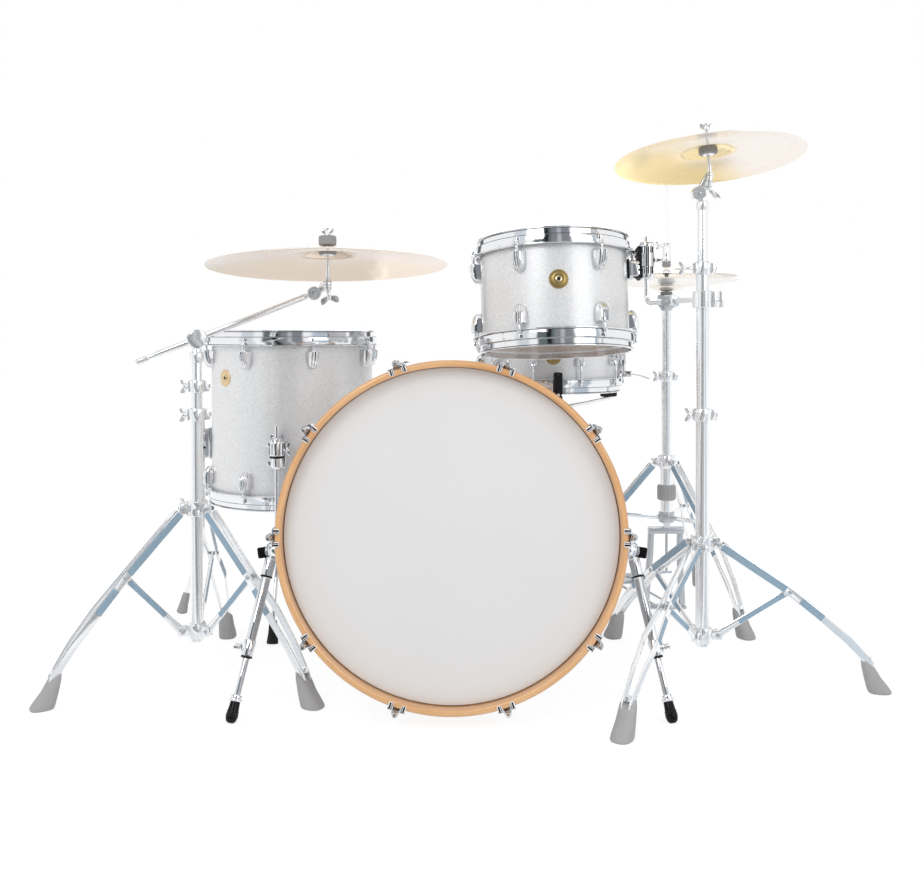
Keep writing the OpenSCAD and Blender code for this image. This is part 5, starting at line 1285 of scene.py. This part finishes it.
def hi_hat():
    board = Vector((HEEL.x - HAT_AT.x, HEEL.y - HAT_AT.y, 0)).length
    heading = math.degrees(math.atan2(HEEL.y - HAT_AT.y, HEEL.x - HAT_AT.x))
    p = Piece(at(*HAT_AT))
    p.pipe(13, 10.56, 250, 614, PALE, None, 44)
    p.lathe([(4.2, 224), (16.4, 224), (16.6, 226), (16.6, 366), (10.6, 366), (10.6, 329), (4.2, 329)], PALE,
            None, 40, True)
    p.lathe(ring(16.7, 23, 283, 321, 1.6, 2), GREY_RUBBER, None, 40, True)
    for k in range(16):
        p.slab((1.8, 3.2, 30), turn("Z", k * 22.5) @ at(23, 0, 302), GREY_RUBBER, 0.8)
    p.lathe(ring(13.1, 21, 364, 398, 1.4, 2), PALE, None, 40, True)
    p.lathe(ring(4.2, 20, 226, 252, 1.4, 2), PALE_DARK, None, 40, True)
    clamp(p, 614, 13, 180)
    side = turn("Z", 215)
    p.rod((18, 0, 382), (38, 0, 388), 4, PALE, 16, side)
    p.wing(along(side @ Vector((36, 0, 387)), side @ Vector((44, 0, 390))), PALE, 13, 9)
    fixed_legs(p, HAT_TURNS, (22, 13.2, 20), 380, [(17, 0, 238), (80, 0, 242), (142, 0, 246)], 288)
    p.slab((90, 28, 16), at(-2, 0, 204), PALE_DARK, 4)
    p.slab((18, 18, 38), at(0, 0, 218), PALE, 3)
    for path in (((-38, 204), (-40, 196), (-42, 150), (-47, 90), (-52, 40), (-53, 10)),
                 ((34, 204), (35, 196), (34, 150), (36, 90), (39, 40), (40, 10))):
        p.sweep([(x, 0, z) for x, z in path], (8, 9), PALE_DARK, (0, 1, 0))
    p.slab((112, 32, 6), at(-6.5, 0, 7), PALE_DARK, 2)
    heel = at(HEEL.x - HAT_AT.x, HEEL.y - HAT_AT.y, 0) @ turn("Z", heading + 180)
    p.slab((66, 80, 5.4), heel @ at(-17, 0, 3), PALE_DARK, 2.4)
    for s in (-1, 1):
        p.slab((16, 8, 24), heel @ at(0, s * 36, 16), PALE_DARK, 3)
        p.rod((4, s * 22, 4.5), (board - 12, s * 22, 6.5), 3, PALE_DARK, 14, heel)
    p.rod((0, -40, HEEL.z), (0, 40, HEEL.z), 3, STEEL, 16, heel)
    p.done("hihat_stand_base", "kit", ["hat_stand"], "steel")

    p = Piece(at(*HEEL) @ turn("Z", heading + 180))
    treadle(p, board / cosd(15) + 0.5, 15, 27, 3.06)
    p.done("hihat_treadle", "hat_pedal", ["hat_pedal"], "steel")

    p = Piece(at(*HAT_AT))
    p.pipe(10.5, 3.7, 400, 797, PALE, None, 40)
    p.lathe([(10.6, 770), (12, 770), (22, 785), (22.4, 788), (22.4, 807), (21, 810), (10, 810), (10, 796)],
            PALE_DARK, None, 44)
    p.lathe([(3.7, 809.6), (14, 809.6), (15, 811), (15, 818), (14, 819), (3.7, 819)],
            GREY_FELT, None, 36, True)
    p.done("hihat_upper_tube", "hat_tube", ["hat_upper_tube"], "chrome")

    p = Piece(at(*HAT_AT))
    p.rod((0, 0, 190), (0, 0, 1107), 3, PALE, 20)
    top = HEEL.z + board * math.tan(math.radians(15)) + 7
    chain(p, (0, 0, top), (0, 0, 194))
    p.lathe([(3, 858), (5.5, 858), (5.5, 864), (9.4, 864), (10, 866), (10, 871), (9, 873), (5.5, 873),
             (5.5, 884)], PALE_DARK, None, 28)
    p.lathe(ring(3.2, 11, 884, 897, 0.6, 1.4), GREY_FELT, None, 36, True)
    p.lathe([(3.2, 897.2), (10.6, 897.2), (11.2, 898.4), (11.2, 907), (10.2, 908.6), (9.6, 909), (9.6, 942),
             (8.4, 944), (3.2, 944)], PALE, None, 36)
    for k in range(12):
        p.slab((1.4, 2.2, 8), turn("Z", k * 30) @ at(11.1, 0, 902.5), PALE, 0.6)
    p.rod((-6, 0, 936), (-21, 0, 938), 4, PALE, 16)
    p.wing(at(-20, 0, 938) @ turn("Y", -90), PALE, 11, 8)
    p.done("hihat_pull_rod", "hat_rod", ["hat_rod"], "chrome")
    cymbal("hihat_top_cymbal", "hat_rod", "hat_top_cymbal", at(*off(HAT_AT, 0, 0, HAT_Z + HAT_GAP / 2)),
           HAT_R, 13, 50, 13, BRONZE_PALE)
    cymbal("hihat_bottom_cymbal", "hat_tube", "hat_bottom_cymbal",
           at(*off(HAT_AT, 0, 0, HAT_Z - HAT_GAP / 2)) @ flip_z(), HAT_R, 13, 50, 13, BRONZE_PALE)


def treadle(p, length, rise, half, bore):
    """Footboard: tapered cast plate with raised ribs, hinged at x = 0."""
    tilt = turn("Y", -rise)
    outline = [(12, -half), (length * 0.55, -half), (length * 0.9, -half * 0.86), (length, -half * 0.6),
               (length, half * 0.6), (length * 0.9, half * 0.86), (length * 0.55, half), (12, half)]
    p.plate(outline, 5.6, tilt @ at(0, 0, 1), PALE_DARK, 1.8)
    for k in range(5):
        y = (k - 2) * half * 0.38
        p.slab((length * 0.72, 2.6, 2.4), tilt @ at(length * 0.5, y, 4.4), STEEL, 0.9)
    for s in (-1, 1):
        p.pipe(8, bore, -7, 7, PALE_DARK, at(0, s * 24, 0) @ turn("X", 90), 28, 0.8)
        p.slab((12, 11, 5), tilt @ at(10, s * 24, 1), PALE_DARK, 1)


# ------------------------------------------------------------------ bass pedal

def bass_pedal():
    p = Piece(at(BASS_AT.x, 0, 0))
    y = AXLE.y
    p.slab((76, 104, 5), at(0, -88, 3), PALE_DARK, 2)
    p.slab((32, 74, 6), at(0, -87, 22.5), STEEL, 2)
    p.slab((20, 14, 18), at(0, -59, 14), STEEL, 2)
    p.slab((26, 50, 2.4), at(0, -97, 6.6), BLACK, 1)
    for s in (-1, 1):
        p.sweep([(s * 46, y, 1), (s * 46, y, 60), (s * 46, y, 150), (s * 46, y, 200), (s * 46, y, 238)],
                lambda i: (8.6, (5, 4.4, 4.2, 5, 5.4)[i]), STEEL, (1, 0, 0))
        p.lathe(ring(4.1, 11.4, -6, 6, 1.4, 1.4), STEEL, at(s * 46, y, AXLE.z) @ turn("Y", 90), 32, True)
        p.slab((8, 16, 28), at(s * 38, PEDAL_HEEL_Y, 18), STEEL, 3)
        p.rod((s * 28, y, 4), (s * 28, PEDAL_HEEL_Y, 4), 3, CHROME, 14)
    p.slab((104, 18, 8), at(0, y, 4), STEEL, 2)
    p.slab((80, 74, 5.6), at(0, PEDAL_HEEL_Y + 25, 3), PALE_DARK, 2.4)
    p.rod((-41, PEDAL_HEEL_Y, 24), (41, PEDAL_HEEL_Y, 24), 3, CHROME, 16)
    p.rod((56, y, 120), (56, y, 212), 4, CHROME, 12)
    spring = [(56 + 6.4 * math.cos(i * 0.7), y + 6.4 * math.sin(i * 0.7), 128 + i * 0.62) for i in range(120)]
    p.sweep(spring, (1.1, 1.1), CHROME, (0, 0, 1))
    clip_to_floor(p)
    p.done("bass_pedal_frame", "kit", ["pedal_frame"], "steel")

    reach = PEDAL_HEEL_Y - y + 22
    rise = 14
    p = Piece(at(BASS_AT.x, PEDAL_HEEL_Y, 24) @ turn("Z", -90))
    treadle(p, reach / cosd(rise), rise, 37, 3.06)
    top = reach * math.tan(math.radians(rise))
    chain(p, (reach - 1.5, 0, top + 4), (reach - 1.5, 0, top + 106))
    p.done("bass_pedal_treadle", "pedal_board", ["pedal_board"], "steel")

    p = Piece(at(*AXLE))
    p.rod((-56, 0, 0), (56, 0, 0), 4, CHROME, 6)
    p.lathe([(4, -7), (15, -7), (17, -6), (17, -4), (14, -3), (14, 3), (17, 4), (17, 6), (15, 7), (4, 7)],
            STEEL, turn("Y", 90), 40, True)
    swing = turn("X", BEATER_SWING)
    p.rod((0, 0, -20), (0, 0, 182), 3, CHROME, 16, swing)
    p.lathe([(0, 0), (20, 0), (23.4, 3), (24, 7), (24, 35), (23.4, 39), (20, 42), (0, 42)], WHITE_FELT,
            swing @ at(0, 21, 172) @ turn("X", 90), 44)
    p.slab((10, 14, 10), swing @ at(0, 0, 20), STEEL, 2)
    p.done("bass_pedal_beater", "beater", ["pedal_beater"], "chrome")


# ------------------------------------------------------------------ studio

# Lengths are metres here. The sky gives the even light and three soft lamps the shading;
# the floor glows only to the camera, in reflections and through clear parts.
CAMERA_AT, CAMERA_LENS, CAMERA_SHIFT, SENSOR = (-0.023, -2.31, 0.715), 39.05, -0.1112, 36
WHITE = (1, 1, 1, 1)
FLOOR_HALF, SKY_LIGHT, FLOOR_GLOW, FLOOR_BOUNCE = 14, 0.70, 0.845, 0.24
LAMPS = (("key", (-1.6, -3.0, 2.6), (0, 0, 0.5), 1.6, 30),
         ("fill", (2.2, -2.6, 1.8), (0, 0, 0.5), 1.8, 18),
         ("back", (0.4, 2.8, 2.8), (0, 0, 0.6), 2.0, 22))


class Studio(Wiring):
    """Shorthand for the node trees of the world and the floor."""

    def __init__(self, tree):
        super().__init__(tree)
        tree.nodes.clear()

    def ramp(self, value, low, high, a, b):
        return self.node("MapRange", {0: value, 1: low, 2: high, 3: a, 4: b},
                         interpolation_type="SMOOTHSTEP").outputs[0]

    def band(self, value, low, high, soft):
        """1 between low and high, fading over the soft width outside."""
        return self.math("MULTIPLY", self.ramp(value, low - soft, low, 0.0, 1.0),
                         self.ramp(value, high, high + soft, 1.0, 0.0))

    def blend(self, factor, a, b):
        return self.node("Mix", {0: factor, 6: a, 7: b}, data_type="RGBA").outputs[2]

    def seen(self, *others):
        """1 on camera rays and on the other ray kinds named."""
        path = self.node("LightPath")
        value = path.outputs["Is Camera Ray"]
        for name in others:
            value = self.math("MAXIMUM", value, path.outputs[name])
        return value


def room(tree, azimuth, height=None, amount=1.0):
    """Dark and grey parts of the studio that polished metal mirrors; azimuth 0 is the camera's side."""
    turned = tree.math("MULTIPLY", azimuth, 180 / math.pi)
    away = tree.math("ABSOLUTE", turned)
    level = tree.band(height, -0.45, 0.45, 0.3) if height is not None else amount
    colour = WHITE
    for value, low, high, soft, strength, tone in (
            (turned, 38, 58, 7, 0.9, (0.42, 0.50, 0.57, 1)),
            (turned, -62, -48, 6, 0.75, (0.60, 0.65, 0.70, 1)),
            (turned, -8, 20, 5, 1.0, (0.24, 0.25, 0.27, 1)),
            (turned, -30, -9, 4, 1.0, (0.13, 0.16, 0.155, 1)),
            (turned, -17, -12, 2, 1.0, (0.01, 0.012, 0.016, 1)),
            (turned, 3, 7, 2, 0.55, (0.7, 0.72, 0.74, 1)),
            (away, 138, 149, 4, 0.9 if height is not None else 0.0, (0.05, 0.055, 0.06, 1))):
        part = tree.math("MULTIPLY", tree.band(value, low, high, soft),
                         tree.math("MULTIPLY", level, strength))
        colour = tree.blend(part, colour, tone)
    if height is not None:
        colour = tree.blend(tree.math("MULTIPLY", tree.band(height, 0.5, 0.64, 0.07), 0.75), colour,
                            (0.16, 0.17, 0.19, 1))
    return colour


def studio():
    scene = bpy.context.scene
    scene.view_settings.view_transform = "Standard"
    world = scene.world or bpy.data.worlds.new("studio")
    scene.world = world
    world.use_nodes = True
    sky = Studio(world.node_tree)
    x, y, z = sky.node("SeparateXYZ", {0: sky.node("TexCoord").outputs["Generated"]}).outputs
    azimuth = sky.math("ARCTAN2", x, sky.math("MULTIPLY", y, -1.0))
    glossy = room(sky, azimuth, z)
    path = sky.node("LightPath")
    show = sky.node("Background", {0: sky.blend(path.outputs["Is Glossy Ray"], WHITE, glossy)})
    lamp = sky.node("Background", {0: WHITE, 1: SKY_LIGHT})
    pick = sky.node("MixShader", {0: sky.seen("Is Glossy Ray", "Is Transmission Ray"),
                                  1: lamp.outputs[0], 2: show.outputs[0]})
    sky.node("OutputWorld", {0: pick.outputs[0]})

    mesh = bpy.data.meshes.new("studio_floor")
    mesh.from_pydata([(x * FLOOR_HALF, y * FLOOR_HALF, 0) for x, y in ((-1, -1), (1, -1), (1, 1), (-1, 1))],
                     [], [(0, 1, 2, 3)])
    floor = bpy.data.objects.new("studio_floor", mesh)
    scene.collection.objects.link(floor)
    material = bpy.data.materials.new("studio_floor")
    material.use_nodes = True
    ground = Studio(material.node_tree)
    x, y, _ = ground.node("SeparateXYZ", {0: ground.node("TexCoord").outputs["Object"]}).outputs
    reach = ground.length(x, y)
    azimuth = ground.math("ARCTAN2", x, ground.math("MULTIPLY", y, -1.0))
    shade = room(ground, azimuth, None, ground.ramp(reach, 0.4, 0.9, 0.0, 0.95))
    shade = ground.blend(ground.node("LightPath").outputs["Is Glossy Ray"], WHITE, shade)
    diffuse = ground.node("BsdfDiffuse", {0: ground.blend(FLOOR_BOUNCE, (0, 0, 0, 1), shade)})
    glow = ground.node("Emission", {0: shade, 1: FLOOR_GLOW})
    both = ground.node("AddShader", {0: diffuse.outputs[0], 1: glow.outputs[0]})
    plain = ground.node("BsdfDiffuse", {0: (0.85, 0.85, 0.85, 1)})
    choose = ground.node("MixShader", {0: ground.seen("Is Glossy Ray", "Is Transmission Ray"),
                                       1: plain.outputs[0], 2: both.outputs[0]})
    ground.node("OutputMaterial", {0: choose.outputs[0]})
    mesh.materials.append(material)

    for name, place, aim, extent, power in LAMPS:
        light = bpy.data.lights.new(name, "AREA")
        light.size = extent
        light.energy = power
        holder = bpy.data.objects.new(name, light)
        holder.location = place
        holder.rotation_euler = (Vector(aim) - Vector(place)).to_track_quat("-Z", "Y").to_euler()
        scene.collection.objects.link(holder)

    camera = bpy.data.cameras.new("camera")
    camera.sensor_width = SENSOR
    camera.lens = CAMERA_LENS
    camera.shift_y = CAMERA_SHIFT
    holder = bpy.data.objects.new("camera", camera)
    holder.location = CAMERA_AT
    holder.rotation_euler = (math.radians(90), 0, 0)
    scene.collection.objects.link(holder)
    scene.camera = holder


studio()
bass_drum()
spurs()
rack_tom()
floor_tom()
snare()
snare_support()
left_stand()
right_stand()
hi_hat()
bass_pedal()
